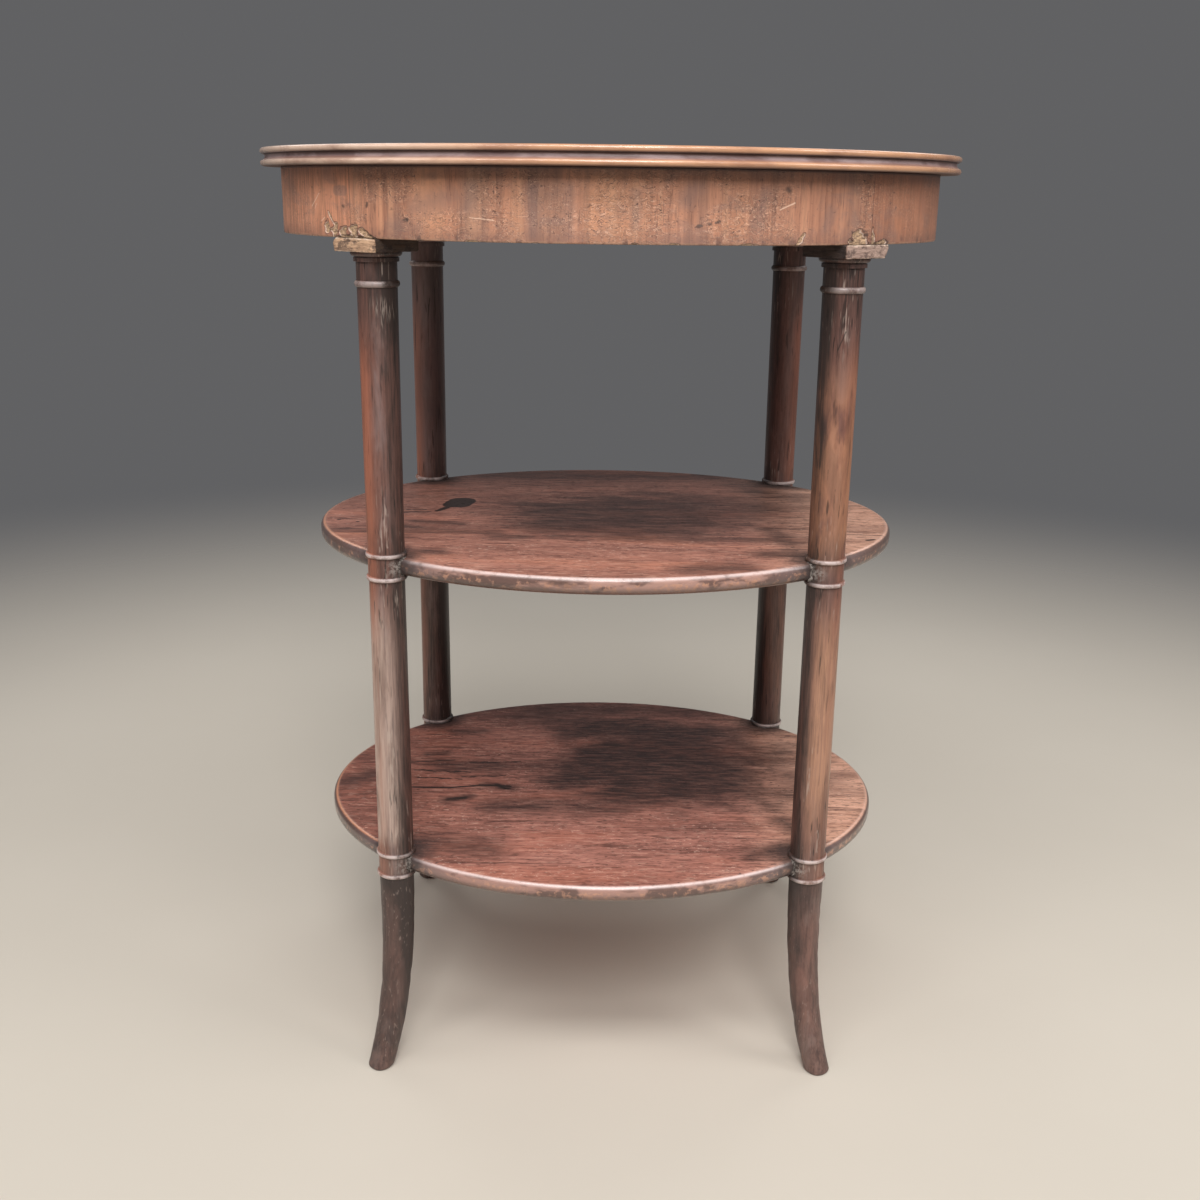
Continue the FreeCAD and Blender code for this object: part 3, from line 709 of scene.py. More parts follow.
def column_paint(place):
    """Column: dark polish, red and lighter on the outer side and a lit patch on the right front column as painted
    light, greyed at the front, black towards the middle, darker under the apron and on the rear columns below the mid
    shelf as painted shade, scuffed rings.
    """
    x, y, z = place.parts()
    wood = place.stretch((2, 2, 0.08), turn=UPRIGHT).group(FIBRE)
    figure, thread = wood[:2]
    reach, _, away = place.group(POST)
    right, rear = x.ramp(-0.02, 0.02), y.ramp(-0.02, 0.02)
    left = 1 - right
    gap = abs(z - NECK_RING)
    for level in RING_LEVELS[:-1]:
        gap = gap.at_most(abs(z - level))
    mottle = place.stretch((1, 1, 0.28)).noise(60, 4, 0.6, 0.4)
    # Painted light: the outer side of each column redder and lighter, more on the left columns
    rim = away.ramp(0.001, 0.012) * z.ramp(0.63, 0.575) * (0.35 + 0.45 * left)
    # Painted light: a warm lit patch on the right front column between the mid shelf and the neck
    lit_glow = z.ramp(0.62, 0.53) * z.ramp(0.425, 0.465) * mottle.ramp(0.34, 0.58) * right * (1 - rear)
    film = away.hump(0, 0.012) * mottle.ramp(0.4, 0.62) * (0.25 + 0.35 * left)
    shins = z.ramp(0.2, 0.27, 0.2, 1).over(left * z.ramp(0.194, 0.212))
    shins = shins * z.ramp(0.428, 0.36) * away.ramp(-0.012, -0.001) * rear.ramp(0, 1, 1, 0.25)
    dusty = shins * figure.ramp(0, 1, 0.5, 0.9) * thread.ramp(0, 1, 0.7, 1.05)
    polish = place.stretch((1.3, 1.3, 0.2)).group(PATINA, Scale=52)
    # Painted shade: black on the side of each column towards the table's middle
    inner = 0.8 * away.ramp(0.0005, -0.0105) * left + 0.84 * away.ramp(-0.004, -0.0118) * right
    # Painted shade: darker towards the top of the column, under the apron and top
    neck = z.ramp(0.555, 0.64) * x.ramp(-0.02, 0.02, 0.26, 0.42)
    # The dark mask lays patina clouds and darkening near the rings together with the painted shade above
    dark = 0.34 * polish + 0.2 * gap.ramp(0.03, 0.003) + 0.86 * inner + neck
    # Painted shade: the rear columns darker below the mid shelf, a little lighter above it
    dark = (dark + rear * z.ramp(0.44, 0.41, -0.12, 0.5)) * thread.ramp(0, 1, 1, 0.72)
    dash = place.stretch((2.2, 2.2, 0.2)).noise(170, 2, 0.55).ramp(0.61, 0.68)
    warp = tearing(place.stretch((1, 1, 0.3)), 240)
    scratch = place.stretch((2.6, 2.6, 0.22)).noise(330).ramp(0.5, 0.6)
    scuff = place.stretch((1.5, 1.5, 0.12)).group(SCUFF) * gap.ramp(0.06, 0.02, 0.12, 1)
    scuff = scuff.over(scratch * marks(place, warp, COLUMN_RUBS))
    ring = reach.ramp(0.0149, 0.0158) * z.ramp(NECK_RING + 0.006, NECK_RING + 0.004) * away.ramp(-0.016, -0.004)
    worn = place.noise(95, 4, 0.6).ramp(0.3, 0.56) * z.ramp(0.6, 0.64, 1, 0.5)
    low_seat, mid_seat = [z.hump(top - SHELF_THICKNESS / 2, 0.009) for top in (LOW_SHELF_TOP, MID_SHELF_TOP)]
    crumbs = place.noise(330, 4, 0.7).ramp(0.42, 0.6)
    dust = low_seat.over(mid_seat) * away.ramp(0.002, -0.008) * crumbs
    colour = coats(
        wood_tone(wood, COLUMN_TONES, 0.5, 0.4),
        COLUMN_TONES,
        (rim, "lit_red_rim"),
        (0.75 * lit_glow, "lit_glow"),
        (film, "film"),
        (dusty, right.blend(LEFT_SHIN, RIGHT_SHIN)),
        (dark.at_most(0.94), "polish"),
        (rear * z.ramp(0.44, 0.5, 0, 0.3) * left, "rear_film"),
        (dash * gap.ramp(0.11, 0.02, 0.25, 0.75), NEAR_BLACK),
        (0.46 * scuff, "scuff"),
        (0.7 * marks(place, warp, COLUMN_CRACKS), NEAR_BLACK),
        (0.85 * ring * worn, "ring"),
        (0.55 * dust, DUST_GREY),
    )
    roughness = 0.34 + 0.08 * polish + 0.2 * scuff + 0.3 * dust + 0.15 * film
    dents = place.stretch((1, 1, 0.5)).noise(85, 3, 0.55)
    return colour, roughness, 0.2 * thread - 0.4 * dash + 0.6 * dents - 0.25 * scuff


FOOT_TONES = {
    "deep": (0.074, 0.041, 0.035),
    "light": (0.203, 0.112, 0.09),
    "streak": (0.049, 0.028, 0.024),
    "pore": NEAR_BLACK,
    "warm": (0.284, 0.135, 0.104),
    "film": (0.27, 0.209, 0.186),
    # Dark polish, also laid as painted shade through the foot's dark mask
    "polish": (0.034, 0.024, 0.022),
    "scuff": (0.459, 0.351, 0.297),
    "toe": (0.27, 0.162, 0.128),
}


def foot_paint(place):
    """Foot: dark polish over upright grain, warmer half way, nicked, darker towards the top, dusty at the toe;
    painted shade makes the inner side black and the left feet darker, painted light makes the right feet warmer.
    """
    x, _, z = place.parts()
    wood = place.stretch((1.6, 1.6, 0.1), turn=UPRIGHT).group(FIBRE)
    thread, streak = wood[1:3]
    _, out, away = place.group(POST)
    mottle = place.stretch((1, 1, 0.3)).noise(55, 4, 0.6, 0.4)
    # Painted light: warmer on the right feet than on the left
    warm = z.hump(0.09, 0.07) * mottle.ramp(0.36, 0.6) * x.ramp(-0.02, 0.02, 0.3, 0.7)
    film = mottle.ramp(0.52, 0.68)
    # Painted shade: black on the inner side of each foot
    inner = out.ramp(0.002, -0.012).over(away.ramp(0, -0.0125)) * z.ramp(0, 0.09, 0.4, 1)
    polish = place.stretch((1, 1, 0.3)).group(PATINA, Scale=48)
    # The dark mask lays patina clouds, the painted shade of the inner side and the left feet, and darkening towards
    # the top
    dark = 0.34 * polish + 0.7 * inner + 0.3 * z.ramp(0.145, 0.171) + x.ramp(0.02, -0.02, 0, 0.44)
    scuff = place.stretch((1.2, 1.2, 0.35)).group(SCUFF)
    toe = z.ramp(0.03, 0) * place.noise(140, 4, 0.65).ramp(0.42, 0.66)
    colour = coats(
        wood_tone(wood, FOOT_TONES, 0.5, 0.45),
        FOOT_TONES,
        (warm, "warm"),
        (0.3 * film, "film"),
        (dark.at_most(0.92), "polish"),
        (0.3 * scuff, "scuff"),
        (0.4 * toe, "toe"),
    )
    roughness = 0.38 + 0.08 * polish + 0.25 * toe + 0.08 * film
    dents = place.noise(75, 3, 0.55)
    return colour, roughness, 0.2 * thread - 0.3 * streak + 0.6 * dents - 0.25 * scuff


TOP_TONES = {
    "deep": (0.16, 0.068, 0.046),
    "light": (0.34, 0.155, 0.105),
    "streak": (0.06, 0.028, 0.022),
    "pore": (0.05, 0.023, 0.018),
    "dark_cloud": (0.1, 0.052, 0.042),
    "light_cloud": (0.37, 0.175, 0.11),
    "moulding": (0.338, 0.149, 0.092),
    # Painted shade in the quirk and along the underside edge of the top
    "quirk": (0.068, 0.043, 0.035),
    "scuff": (0.5, 0.35, 0.27),
}
# The beads' tones: rubbed tan with a painted highlight, palest to the left
RIGHT_BEAD, LEFT_BEAD = (0.756, 0.405, 0.223), (0.9, 0.66, 0.51)
COVE_DARK, COVE_FILM = (0.243, 0.158, 0.157), (0.513, 0.378, 0.373)


def top_paint(place):
    """Top: grain along the length; on the moulded edge the beads are rubbed tan with a painted highlight and the cove
    keeps a grey film; the quirk and the underside edge are dark as painted shade.
    """
    x, _, z = place.parts()
    wood = place.stretch((0.05, 1, 1)).group(FIBRE)
    cloud = place.stretch((0.4, 1, 1)).noise(10, 5, 0.6, 0.5)
    inset = place.group(INSET, **{"Half Width": TOP_HIGH.x, "Half Depth": TOP_HIGH.y})
    moulded = inset.ramp(0.0062, 0.0042)
    rubbed = place.stretch((0.3, 0.6, 1)).noise(60, 5, 0.62)
    # Rubbed tan with a painted highlight on the beads
    bead = inset.ramp(0.0028, 0.0006) * rubbed.ramp(0.3, 0.6, 0.4, 1)
    cove = moulded * z.hump(COVE_LEVEL, 0.0034)
    # Painted shade: the quirk groove and the underside edge of the top dark, where shadow falls under the moulding
    quirk = moulded * z.hump(QUIRK_LEVEL, 0.0014)
    under = z.ramp(TOP_LOW.z + 0.0012, TOP_LOW.z + 0.0002)
    scuff = place.stretch((0.3, 1, 1), turn=(0, 0, 0.3)).group(SCUFF)
    colour = coats(
        wood_tone(wood, TOP_TONES, 0.6, 0.5),
        TOP_TONES,
        (0.55 * cloud.ramp(0.45, 0.66), "dark_cloud"),
        (0.4 * cloud.ramp(0.42, 0.28), "light_cloud"),
        (0.55 * moulded, "moulding"),
        (0.75 * bead, x.ramp(-0.02, -0.2).blend(RIGHT_BEAD, LEFT_BEAD)),
        (0.85 * cove, rubbed.ramp(0.4, 0.62).blend(COVE_DARK, COVE_FILM)),
        (0.9 * quirk.over(0.8 * under), "quirk"),
        (0.18 * scuff, "scuff"),
    )
    roughness = 0.3 + 0.12 * cloud + 0.3 * under + 0.1 * cove - 0.12 * bead
    return colour, roughness, 0.25 * wood[1] - 0.4 * wood[3] + 0.3 * rubbed, 0.7 * bead


APRON_SCRATCHES = placed_marks(
    (-218.5, -123, 698.1, -211.3, -131.6, 707.3, 0.5, 0.6, 0.5),
    (-216, -126.2, 696.5, -214, -128.5, 700, 0.4, 0.4, 0.5),
    (-210, -133.1, 688, -207, -136.4, 690.5, 0.5, 0.6, 0.5),
    (113.9, -199.2, 700.5, 124.4, -194.7, 705.1, 0.6, 0.8, 0.5),
    (-96, -205.8, 693, -79, -210.8, 691.5, 0.4, 1.2, 0.5),
)
APRON_SPOTS = placed_marks(
    (57.6, -215.6, 689.3, 59.6, -215.2, 689.7, 1.6, 2.2, 0.4),
    (65.2, -214, 690.8, 66, -213.8, 690.9, 1.3, 2.6, 0.3),
    (70, -213, 691.8, 72.2, -212.6, 692.4, 1.5, 3, 0.3),
    (119, -197.1, 714, 120.3, -196.5, 713, 3, 3, 0.1),
    (-190.5, -152.4, 698.7, -190, -152.8, 698.3, 2.2, 2.2, 0.2),
    (-170.8, -168.1, 701.1, -171.2, -167.8, 699, 1.4, 2.2, 0.3),
    (-143, -185.4, 690, -140, -187.1, 690.5, 2, 3, 0.1),
)
APRON_HAZE = placed_marks(
    (-196, -147.4, 709.2, -189.5, -153.2, 709.2, 4.5, 1.5, 0.6),
    (-134, -190.2, 699, -113, -199.6, 705, 14, 12, 0),
    (-152, -180.3, 686, -133, -190.6, 686, 11, 12, 0),
    (-96, -205.8, 700, -94, -206.4, 713, 9, 6, 0),
    (-53, -216.5, 683, -53, -216.5, 713, 8, 3, 0),
    (-28, -219.7, 683, -28, -219.7, 713, 8, 3, 0),
    (16, -220.6, 689, 16, -220.6, 710, 7, 4, 0),
    (50, -217, 706, 54, -216.3, 713, 11, 8, 0),
    (98, -205, 690, 103, -203.4, 710, 9, 6, 0),
    (148, -182.7, 688, 152, -180.3, 700, 9, 8, 0),
)
VENEER_TONES = {
    "deep": (0.419, 0.186, 0.113),
    "light": (0.716, 0.338, 0.203),
    "streak": (0.216, 0.101, 0.07),
    "pore": (0.149, 0.07, 0.05),
    "dark_band": (0.284, 0.162, 0.121),
    "tan_band": (0.702, 0.344, 0.196),
    "tan_strip": (0.837, 0.446, 0.263),
    "dark_strip": (0.243, 0.128, 0.095),
    "right_shade": (0.26, 0.13, 0.092),
    "haze": (0.215, 0.148, 0.135),
    "ridge": (0.918, 0.553, 0.378),
    "groove": (0.121, 0.065, 0.049),
    "pit": (0.101, 0.057, 0.046),
    # Painted shadow under the top: a dark line and a darker band with drip stains
    "shadow_line_under_top": (0.041, 0.027, 0.024),
    "shadow_and_stain": (0.121, 0.089, 0.089),
    "spot": (0.068, 0.047, 0.043),
    "scratch": (0.891, 0.621, 0.459),
    "seam": (0.162, 0.081, 0.061),
    "rubbed": (0.81, 0.486, 0.311),
    "grubby": (0.095, 0.057, 0.049),
    "low_shade": (0.23, 0.121, 0.095),
    "chip_shadow": (0.081, 0.051, 0.041),
    "torn_rim": (0.81, 0.621, 0.513),
}
# The end sheets' own tones; the left end paler and more orange as painted light from the left
LEFT_END_LIT, RIGHT_END, END_GRAIN = (0.87, 0.385, 0.23), (0.49, 0.192, 0.105), (0.27, 0.108, 0.061)
RAW_DEEP, RAW_LIGHT = (0.257, 0.155, 0.101), (0.675, 0.446, 0.27)


def veneer_paint(place):
    """Apron veneer: upright bands of tan and grey-brown, crazed varnish, painted shadow with drip stains under the
    top, a paler left end as painted light, bare wood in chips.
    """
    x, _, z = place.parts()
    wood = place.stretch((1, 1, 0.05), turn=UPRIGHT).group(FIBRE)
    thread = wood[1]
    band = place.stretch((1, 1, 0.08)).noise(24)
    strip = place.stretch((1, 1, 0.05)).noise(85)
    end = abs(x).ramp(SEAM_X - 0.0002, SEAM_X + 0.0002)
    # The end sheets' tone, paler at the left end as painted light
    end_tone = x.ramp(-0.1, 0.1).blend(LEFT_END_LIT, RIGHT_END)
    end_tone = thread.ramp(0, 1, 0.55, 0).blend(end_tone, END_GRAIN)
    cloud = place.stretch((0.8, 0.8, 1.1)).noise(40, 4, 0.62, 0.6)
    warp = tearing(place, 260)
    haze = (0.45 * marks(place, warp, APRON_HAZE)).over(0.36 * cloud.ramp(0.5, 0.68))
    patch = place.noise(22).ramp(0.36, 0.54) * (1 - 0.45 * end)
    craze = place.stretch((1, 1, 1.9)).noise(150, 2, 0.5, 2)
    ridge, groove = craze.hump(0.52, 0.035) * patch, craze.hump(0.465, 0.03) * patch
    pits = place.stretch((1, 1, 1.6)).noise(360, 2, 0.6, 0.9).ramp(0.64, 0.71)
    drop, rise = APRON_TOP - z, z - APRON_BOTTOM
    # Painted shadow band under the top, torn by drip-shaped stains
    drips = place.stretch((1, 1, 0.2)).noise(120, 5, 0.65)
    shadow_and_stain = drop + 0.016 * (drips - 0.5)
    edge_wear = place.stretch((1, 1, 0.6)).noise(130, 4, 0.6)
    bare = place.node("ShaderNodeAttribute", {}, "Fac", attribute_name="bare")
    raw = place.stretch((1, 1, 2.2)).noise(260, 5, 0.7).ramp(0.38, 0.6).blend(RAW_DEEP, RAW_LIGHT)
    colour = coats(
        wood_tone(wood, VENEER_TONES, 0.55, 0.5),
        VENEER_TONES,
        (0.55 * band.ramp(0.52, 0.64), "dark_band"),
        (0.5 * band.ramp(0.48, 0.36), "tan_band"),
        (0.32 * strip.ramp(0.55, 0.66), "tan_strip"),
        (0.32 * strip.ramp(0.44, 0.34), "dark_strip"),
        (0.6 * end, end_tone),
        (x.ramp(-0.04, 0.12, 0, 0.24), "right_shade"),
        (haze, "haze"),
        (0.55 * ridge, "ridge"),
        (0.72 * groove, "groove"),
        (pits * patch.ramp(0, 1, 0.4, 0.95), "pit"),
        # Painted shadow under the top: the dark line and the darker band with drip stains
        (0.75 * drop.ramp(0.0024, 0.0008), "shadow_line_under_top"),
        (0.5 * shadow_and_stain.ramp(0.011, 0), "shadow_and_stain"),
        (0.75 * marks(place, warp, APRON_SPOTS), "spot"),
        (0.75 * marks(place, warp, APRON_SCRATCHES), "scratch"),
        (0.55 * abs(x).hump(SEAM_X, 0.0006), "seam"),
        (0.6 * rise.ramp(0.0018, 0.0004) * edge_wear.ramp(0.36, 0.5), "rubbed"),
        (0.75 * rise.ramp(0.0075, 0.001) * edge_wear.ramp(0.52, 0.64), "grubby"),
        (0.42 * rise.ramp(0.012, 0.001), "low_shade"),
        (0.85 * bare.hump(0.24, 0.2), "chip_shadow"),
        (bare.ramp(0.4, 0.6), raw),
        (0.8 * bare.hump(0.58, 0.2), "torn_rim"),
    )
    roughness = 0.38 + 0.12 * band + 0.1 * ridge + 0.3 * bare
    return colour, roughness, 0.2 * thread + 0.5 * ridge - 0.6 * groove - 0.7 * pits + 0.4 * cloud


CORE_TONES = {
    "deep": (0.297, 0.182, 0.105),
    "light": (0.486, 0.324, 0.189),
    "streak": (0.189, 0.115, 0.068),
    "pore": (0.162, 0.101, 0.061),
    "dirt": (0.135, 0.089, 0.062),
}


def core_paint(place):
    """Apron core: pale softwood, darkened with age."""
    wood = place.stretch((0.2, 0.2, 1)).group(FIBRE)
    dirt = place.group(PATINA, Scale=20)
    colour = coats(wood_tone(wood, CORE_TONES, 0.4, 0.3), CORE_TONES, (0.45 * dirt, "dirt"))
    return colour, 0.7 + 0.1 * dirt, 0.8 * wood[1]


ABACUS_CRACKS = placed_marks(
    (-195.5, -156.5, 667, -195.3, -156.7, 678, 0.5, 0.7, 0.5),
    (-187, -163.5, 674.8, -169, -177.5, 674.2, 0.3, 1, 0.5),
    (-193, -158.8, 670.6, -176, -172.2, 671.2, 0.3, 1, 0.5),
    (172, -175.2, 673.5, 193.5, -158, 674.4, 0.4, 1.2, 0.5),
    (180, -168.8, 670.6, 190, -161, 670.1, 0.3, 1, 0.5),
)
ABACUS_TONES = {"dirt": (0.088, 0.054, 0.043), "side": (0.02, 0.014, 0.013), "broken": (0.81, 0.634, 0.486)}
BLOCK_LIGHT, LEFT_BLOCK_LIGHT = (0.54, 0.371, 0.297), (0.729, 0.459, 0.284)
BLOCK_DEEP, LEFT_BLOCK_DEEP = (0.203, 0.121, 0.095), (0.27, 0.149, 0.095)


def abacus_paint(place):
    """Abacus: old bare wood on the outer face, dark polish at the sides, pale along its broken upper arris."""
    x, y, z = place.parts()
    figure, thread, streak, _ = place.stretch((0.2, 0.2, 1.4)).group(FIBRE)
    left = x.ramp(0.02, -0.02) * y.ramp(0.02, -0.02)
    pale, deep = left.blend(BLOCK_LIGHT, LEFT_BLOCK_LIGHT), left.blend(BLOCK_DEEP, LEFT_BLOCK_DEEP)
    dirt = place.stretch((0.6, 0.6, 1)).noise(190, 5, 0.7).ramp(0.47, 0.6).over(0.8 * streak)
    outer = place.group(POST)[1].ramp(0.0196, 0.0209)
    lip = place.noise(190, 3, 0.6).ramp(0.4, 0.58)
    rim = z.ramp(ABACUS_HIGH.z - 0.0013, ABACUS_HIGH.z - 0.0004) * lip
    under_rim = z.ramp(ABACUS_LOW.z + 0.0009, ABACUS_LOW.z + 0.0002) * lip
    crack = marks(place, tearing(place, 260), ABACUS_CRACKS)
    colour = coats(
        (0.5 * figure + 0.5 * thread).blend(deep, pale),
        ABACUS_TONES,
        (0.8 * dirt, "dirt"),
        (0.93 * (1 - outer), "side"),
        (0.65 * rim.over(0.7 * under_rim) * outer, "broken"),
        (0.85 * crack, NEAR_BLACK),
    )
    return colour, 0.5 + 0.12 * outer + 0.12 * dirt, 0.6 * thread - 0.4 * dirt - crack


GRIME_DEEP, GRIME_LIGHT = (0.047, 0.036, 0.031), (0.27, 0.23, 0.203)


def grime_paint(place):
    """Dust and old glue: grey-brown crumbs, paler where the dust lies thick."""
    crumb = place.noise(700, 4, 0.7)
    thick = place.noise(120, 3, 0.6).ramp(0.5, 0.68)
    colour = crumb.ramp(0.38, 0.66).blend(GRIME_DEEP, GRIME_LIGHT)
    return (0.5 * thick).blend(colour, DUST_GREY), 0.8 + 0.1 * crumb, crumb


INK = placed_marks(
    (-133, 34, -130, 48, 13.8, 4, 0.88),
    (-147, 8, -138, 27, 4.2, 4, 0.5),
    (-130, 44, -122.2, 49, 6.2, 3, 0.6),
    (-176.9, 1, -153.7, 4.3, 2.6, 10, 0.3),
    (-174, 11, -160, 12, 1.8, 10, 0.3),
    (-227, -30.5, -226.8, -30.3, 2.4, 0.8, 0.5),
    (-210, -37, -209.9, -36.8, 2.2, 0.8, 0.5),
    level=MID_SHELF_TOP,
)
# Sooty stains on the mid shelf's rear board, with painted shade towards the back under the top
REAR_SMOKE_AND_SHADE = placed_marks(
    (125, 140, 165, 70, 42, 26, 0),
    (-170, -50, -128, -65, 15, 16, 0),
    (-160, -33, -120, -40, 11, 16, 0),
    (135.3, -48, 146.4, -78, 24, 20, 0),
    (146, 125.7, 192.6, 128.6, 28, 20, 0),
    (-109.5, 172.1, -80, 179, 14, 12, 0),
    (30, 90, 90, 70, 34, 30, 0),
    (95, -30, 135, 40, 74, 32, 0),
    (-120, 170, 100, 175, 98, 32, 0),
    (-235, -71, -90, -69, 20, 4, 0.1),
    level=MID_SHELF_TOP,
)
FRONT_DENTS = placed_marks(
    (214, -79, 219, -76.5, 3, 3, 0.4),
    (148, -106, 150, -105, 1.2, 1.2, 0.4),
    level=MID_SHELF_TOP,
)
# Mostly painted shadow on the mid shelf's front board: marks along the edge of the top's shadow, with some sooty
# stains
FRONT_SHADOW_AND_SMOKE = placed_marks(
    (-85, -80, -70, -80, 26, 20, 0),
    (0, -78, 130, -78, 24, 20, 0),
    (65, -176, 105, -168, 28, 20, 0),
    (-45, -78, 60, -78, 15, 12, 0),
    (125, -130, 145, -120, 20, 15, 0),
    (-138, -130, -130, -133, 16, 12, 0),
    (140, -80, 148, -95, 18, 12, 0),
    level=MID_SHELF_TOP,
)
LOW_CHECKS = placed_marks(
    (-174, -20.8, -138, -20.9, 2.2, 2.6, 0.4),
    (-138.5, -20.9, -111.5, -15, 2.1, 2.6, 0.4),
    (-112, -14.8, -84, -16.5, 2.4, 2.6, 0.4),
    (-96, -15, -84.5, -21.5, 4.2, 8, 0.2),
    (-180.5, 35.6, -140.2, 41.5, 2.2, 9, 0.3),
    (-175.2, 17.1, -123.4, 14.1, 2.3, 9, 0.3),
    (-125.5, 37.2, -78, 38.7, 2, 9, 0.3),
    (-170, 1, -130, -2, 2, 9, 0.3),
    (-130, 4, -90, 6, 1.9, 9, 0.3),
    (-137, -46, -123, -42, 5.8, 10, 0.1),
    level=LOW_SHELF_TOP,
)
# Sooty stains on the low shelf, with painted shade in the middle and at the back under the mid shelf
LOW_SMOKE_AND_SHADE = placed_marks(
    (125, 105, 165, 45, 42, 26, 0),
    (-95, -54, 5, -56, 34, 26, 0),
    (155, -80, 170, -98, 20, 16, 0),
    (-140, -47.4, -120.1, -40.6, 13, 12, 0),
    (-105, -13, -84, -20, 18, 12, 0),
    (-147.5, 111.5, -119.6, 115, 14, 16, 0),
    (-165.8, 55.2, -149.7, 58.1, 11, 12, 0),
    (-150, 30, -100, 25, 30, 25, 0),
    (130, -30, 150, -50, 26, 20, 0),
    (145, 65, 180, 70, 26, 20, 0),
    (-60, 170, 100, 175, 50, 30, 0),
    (-232.5, -10, -211.7, 10, 23, 25, 0),
    (-145, -130, -95, -142, 36, 24, 0),
    (125, -145, 145, -135, 20, 15, 0),
    level=LOW_SHELF_TOP,
)

# Each board's own tones; its sooty stains and painted shade have a centre, half sizes and a share
LOW_PAINT = shelf_paint(
    deep=(0.21, 0.087, 0.067),
    light=(0.535, 0.237, 0.178),
    red=(0.45, 0.161, 0.106),
    edge_pale=(0.44, 0.25, 0.205),
    left_shade=0.55,
    top=LOW_SHELF_TOP,
    smoke_and_shade=(0.05, 0.045, 0.13, 0.13, 0.95),
    smoke_and_shade_marks=LOW_SMOKE_AND_SHADE,
    dark_marks=LOW_CHECKS,
)
MID_FRONT_PAINT = shelf_paint(
    deep=(0.27, 0.111, 0.081),
    light=(0.51, 0.225, 0.16),
    red=(0.594, 0.23, 0.135),
    edge_pale=(0.49, 0.287, 0.235),
    left_shade=0,
    top=MID_SHELF_TOP,
    # Painted shadow: a thin dark band across the front board along the edge of the top's shadow
    smoke_and_shade=(0, -0.072, 0.09, 0.02, 0.45),
    smoke_and_shade_marks=FRONT_SHADOW_AND_SMOKE,
    dark_marks=FRONT_DENTS,
)
MID_REAR_PAINT = shelf_paint(
    deep=(0.245, 0.104, 0.078),
    light=(0.575, 0.256, 0.186),
    red=(0.567, 0.219, 0.144),
    edge_pale=(0.49, 0.287, 0.235),
    left_shade=0.1,
    top=MID_SHELF_TOP,
    smoke_and_shade=(0.015, 0, 0.125, 0.11, 0.86),
    smoke_and_shade_marks=REAR_SMOKE_AND_SHADE,
    dark_marks=INK,
)
EDGE_GLOSS = {"Coat Roughness": 0.28, "Specular IOR Level": 0.3}
FINISHES = {
    kind: finish_material(name, paint, bump_depth, **shader_values)
    for kind, name, paint, bump_depth, shader_values in (
        ("top", "worn_top", top_paint, 0.00012, {"Coat Roughness": 0.14}),
        ("veneer", "banded_veneer", veneer_paint, 0.00018, {}),
        ("core", "old_softwood", core_paint, 0.0002, {}),
        ("abacus", "bare_block", abacus_paint, 0.0003, {}),
        ("column", "polished_column", column_paint, 0.00022, {}),
        ("foot", "polished_foot", foot_paint, 0.00022, {}),
        ("low", "low_shelf", LOW_PAINT, 0.00016, EDGE_GLOSS),
        ("mid_front", "mid_shelf_front", MID_FRONT_PAINT, 0.00016, EDGE_GLOSS),
        ("mid_rear", "mid_shelf_rear", MID_REAR_PAINT, 0.00016, EDGE_GLOSS),
        ("grime", "dust_and_glue", grime_paint, 0.0003, {}),
    )
}

# The angle of the seams between the veneer sheets, and each sheet's start, finish and seed
SEAM = math.acos(SEAM_X / APRON_HALF_WIDTH)
SHEETS = {
    "front": (SEAM - math.pi, -SEAM, 11),
    "right": (-SEAM, SEAM, 23),
    "rear": (SEAM, math.pi - SEAM, 37),
    "left": (math.pi - SEAM, math.pi + SEAM, 53),
}

# Every CAD node that stays takes its finish
NODE_FINISH = {
    "table_top": "top",
    "low_shelf_board": "low",
    "mid_shelf_front_board": "mid_front",
    "mid_shelf_rear_board": "mid_rear",
}
NODE_FINISH.update({f"column_{place_name}": "column" for place_name in SIDES})
NODE_FINISH.update({f"apron_core_{place_name}": "core" for place_name in SHEETS})
for node, kind in NODE_FINISH.items():
    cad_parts[node].material_slots[0].material = FINISHES[kind]


def fit(piece, kind, slot, *nodes):
    """Gives a new piece its finish and its body, and hides the nodes that it stands for; the slot is not used."""
    piece.data.materials.append(FINISHES[kind])
    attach(piece, "root")
    if nodes:
        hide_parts(*nodes)


for place_name, (start, finish, seed) in SHEETS.items():
    sheet = veneer_sheet(f"veneer_{place_name}", start, finish, seed)
    fit(sheet, "veneer", "apron_veneer", f"apron_veneer_{place_name}")
for index, (place_name, (side_x, side_y)) in enumerate(SIDES.items()):
    block = abacus_block(f"block_{place_name}", side_x, side_y, 71 + 5 * index)
    fit(block, "abacus", "abacus_wood", f"abacus_{place_name}")
    foot = sabre_foot(f"sabre_{place_name}", side_x, side_y, 151 + 5 * index)
    fit(foot, "foot", "foot_mahogany", f"foot_{place_name}")
fit(grime_beads("low_shelf_grime", LOW_SHELF_TOP, 101), "grime", "shelf_mahogany")
fit(grime_beads("mid_shelf_grime", MID_SHELF_TOP, 131), "grime", "shelf_mahogany")


def stand(name, data, across, head, back, place):
    """Puts a camera or a lamp at a place, facing away from its back."""
    holder = bpy.data.objects.new(name, data)
    holder.matrix_world = Matrix([[across[i], head[i], back[i], place[i]] for i in range(3)] + [[0, 0, 0, 1]])
    bpy.context.scene.collection.objects.link(holder)
    return holder


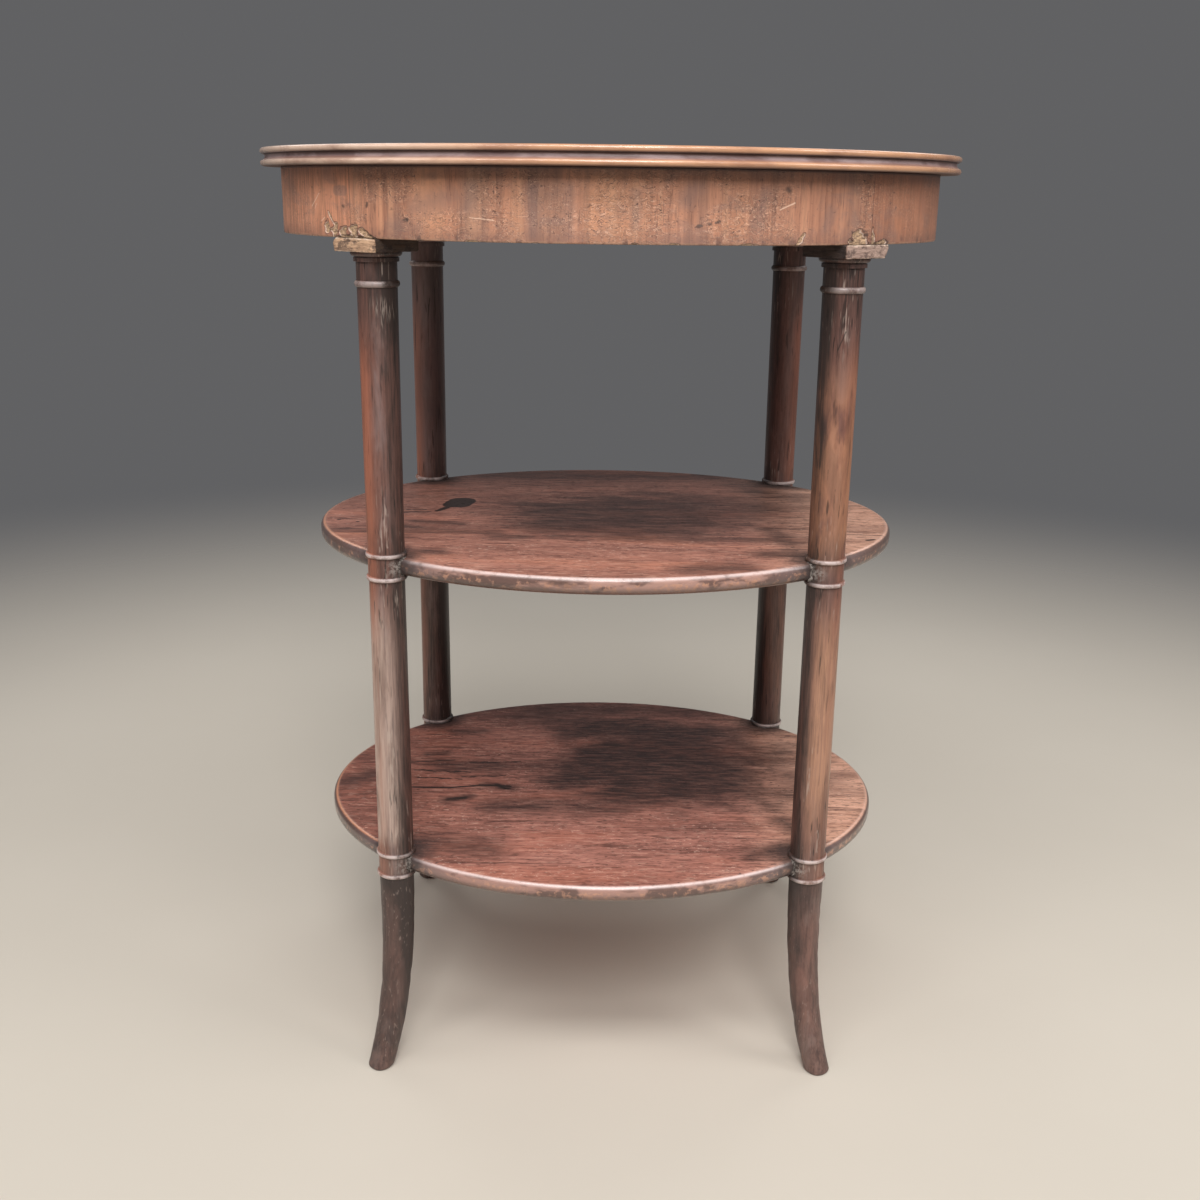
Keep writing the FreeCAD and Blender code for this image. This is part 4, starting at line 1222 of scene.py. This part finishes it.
# Camera, as the photograph was taken
EYE = (-0.007159, -1.15377, 0.71031)
YAW, PITCH, ROLL = 0.002835, 0.29221, 0.01338
SENSOR = 36.0
LENS = 1354.81 / 1200 * SENSOR
ahead = np.array([math.sin(YAW) * math.cos(PITCH), math.cos(YAW) * math.cos(PITCH), -math.sin(PITCH)])
level_right = np.array([math.cos(YAW), -math.sin(YAW), 0.0])
level_up = np.cross(level_right, ahead)
right = level_right * math.cos(ROLL) + level_up * math.sin(ROLL)
upward = level_up * math.cos(ROLL) - level_right * math.sin(ROLL)
camera = stand("camera", bpy.data.cameras.new("camera"), right, upward, -ahead, EYE)
camera.data.sensor_width = SENSOR
camera.data.lens = LENS
camera.data.clip_start, camera.data.clip_end = 0.01, 100.0
bpy.context.scene.camera = camera

# Oblong soft lamps that face the middle of the table: place, width, height and power
MIDDLE = (0.0, 0.0, 0.45)
LAMPS = {
    "key": ((-0.1, -1.4, 2.75), 2.8, 0.6, 46.0),
    "front": ((0.15, -2.8, 2.7), 1.2, 1.2, 66.0),
    "left_fill": ((-2.4, -0.8, 2.3), 1.4, 1.4, 12.0),
    "right_fill": ((2.4, -0.8, 2.3), 1.4, 1.4, 27.0),
    "rear_left_fill": ((-1.8, 2.4, 2.9), 1.6, 1.6, 14.5),
    "rear_right_fill": ((1.8, 2.4, 2.9), 1.6, 1.6, 14.5),
}
for name, (place, width, height, power) in LAMPS.items():
    lamp = bpy.data.lights.new(name, "AREA")
    lamp.shape, lamp.size, lamp.size_y, lamp.energy = "RECTANGLE", width, height, power
    back = unit(np.array(place) - np.array(MIDDLE))
    across = unit(np.cross([0.0, 1.0, 0.0], back))
    stand(name, lamp, across, np.cross(back, across), back, place)


def floor_disc():
    """The floor: rings round the origin whose radius grows by steps, flat at the toes' level, a fan at the middle."""
    around = 96
    turn = np.linspace(0, 2 * math.pi, around, endpoint=False)
    radius = np.array([0.02, 1.0, 2.0, 4.0])[:, None]
    points = np.stack([radius * np.cos(turn), radius * np.sin(turn), 0 * radius * turn], -1)
    faces = grid_faces(len(radius), around, wrap_columns=True)[:, ::-1]
    return mesh_piece("floor", points, faces, (np.arange(around),))


def floor_paint(place):
    """Pale plain floor with the faintest clouding, which fades out into its surroundings."""
    feed(place.tree.nodes["Principled BSDF"].inputs["Alpha"], place.vector("LENGTH").ramp(2.4, 0.7))
    cloud = place.noise(3.0, 4.0, 0.55)
    return cloud.blend((0.62, 0.56, 0.475), (0.66, 0.6, 0.515)), 0.75 + 0.05 * cloud, cloud


floor = floor_disc()
floor.data.materials.append(finish_material("pale_floor", floor_paint, 0.0001))

# Even grey surroundings
world = bpy.data.worlds.new("surroundings")
world.use_nodes = True
world.node_tree.nodes["Background"].inputs["Color"].default_value = (0.12, 0.12, 0.124, 1.0)
bpy.context.scene.world = world
bpy.context.scene.view_settings.view_transform = "Standard"
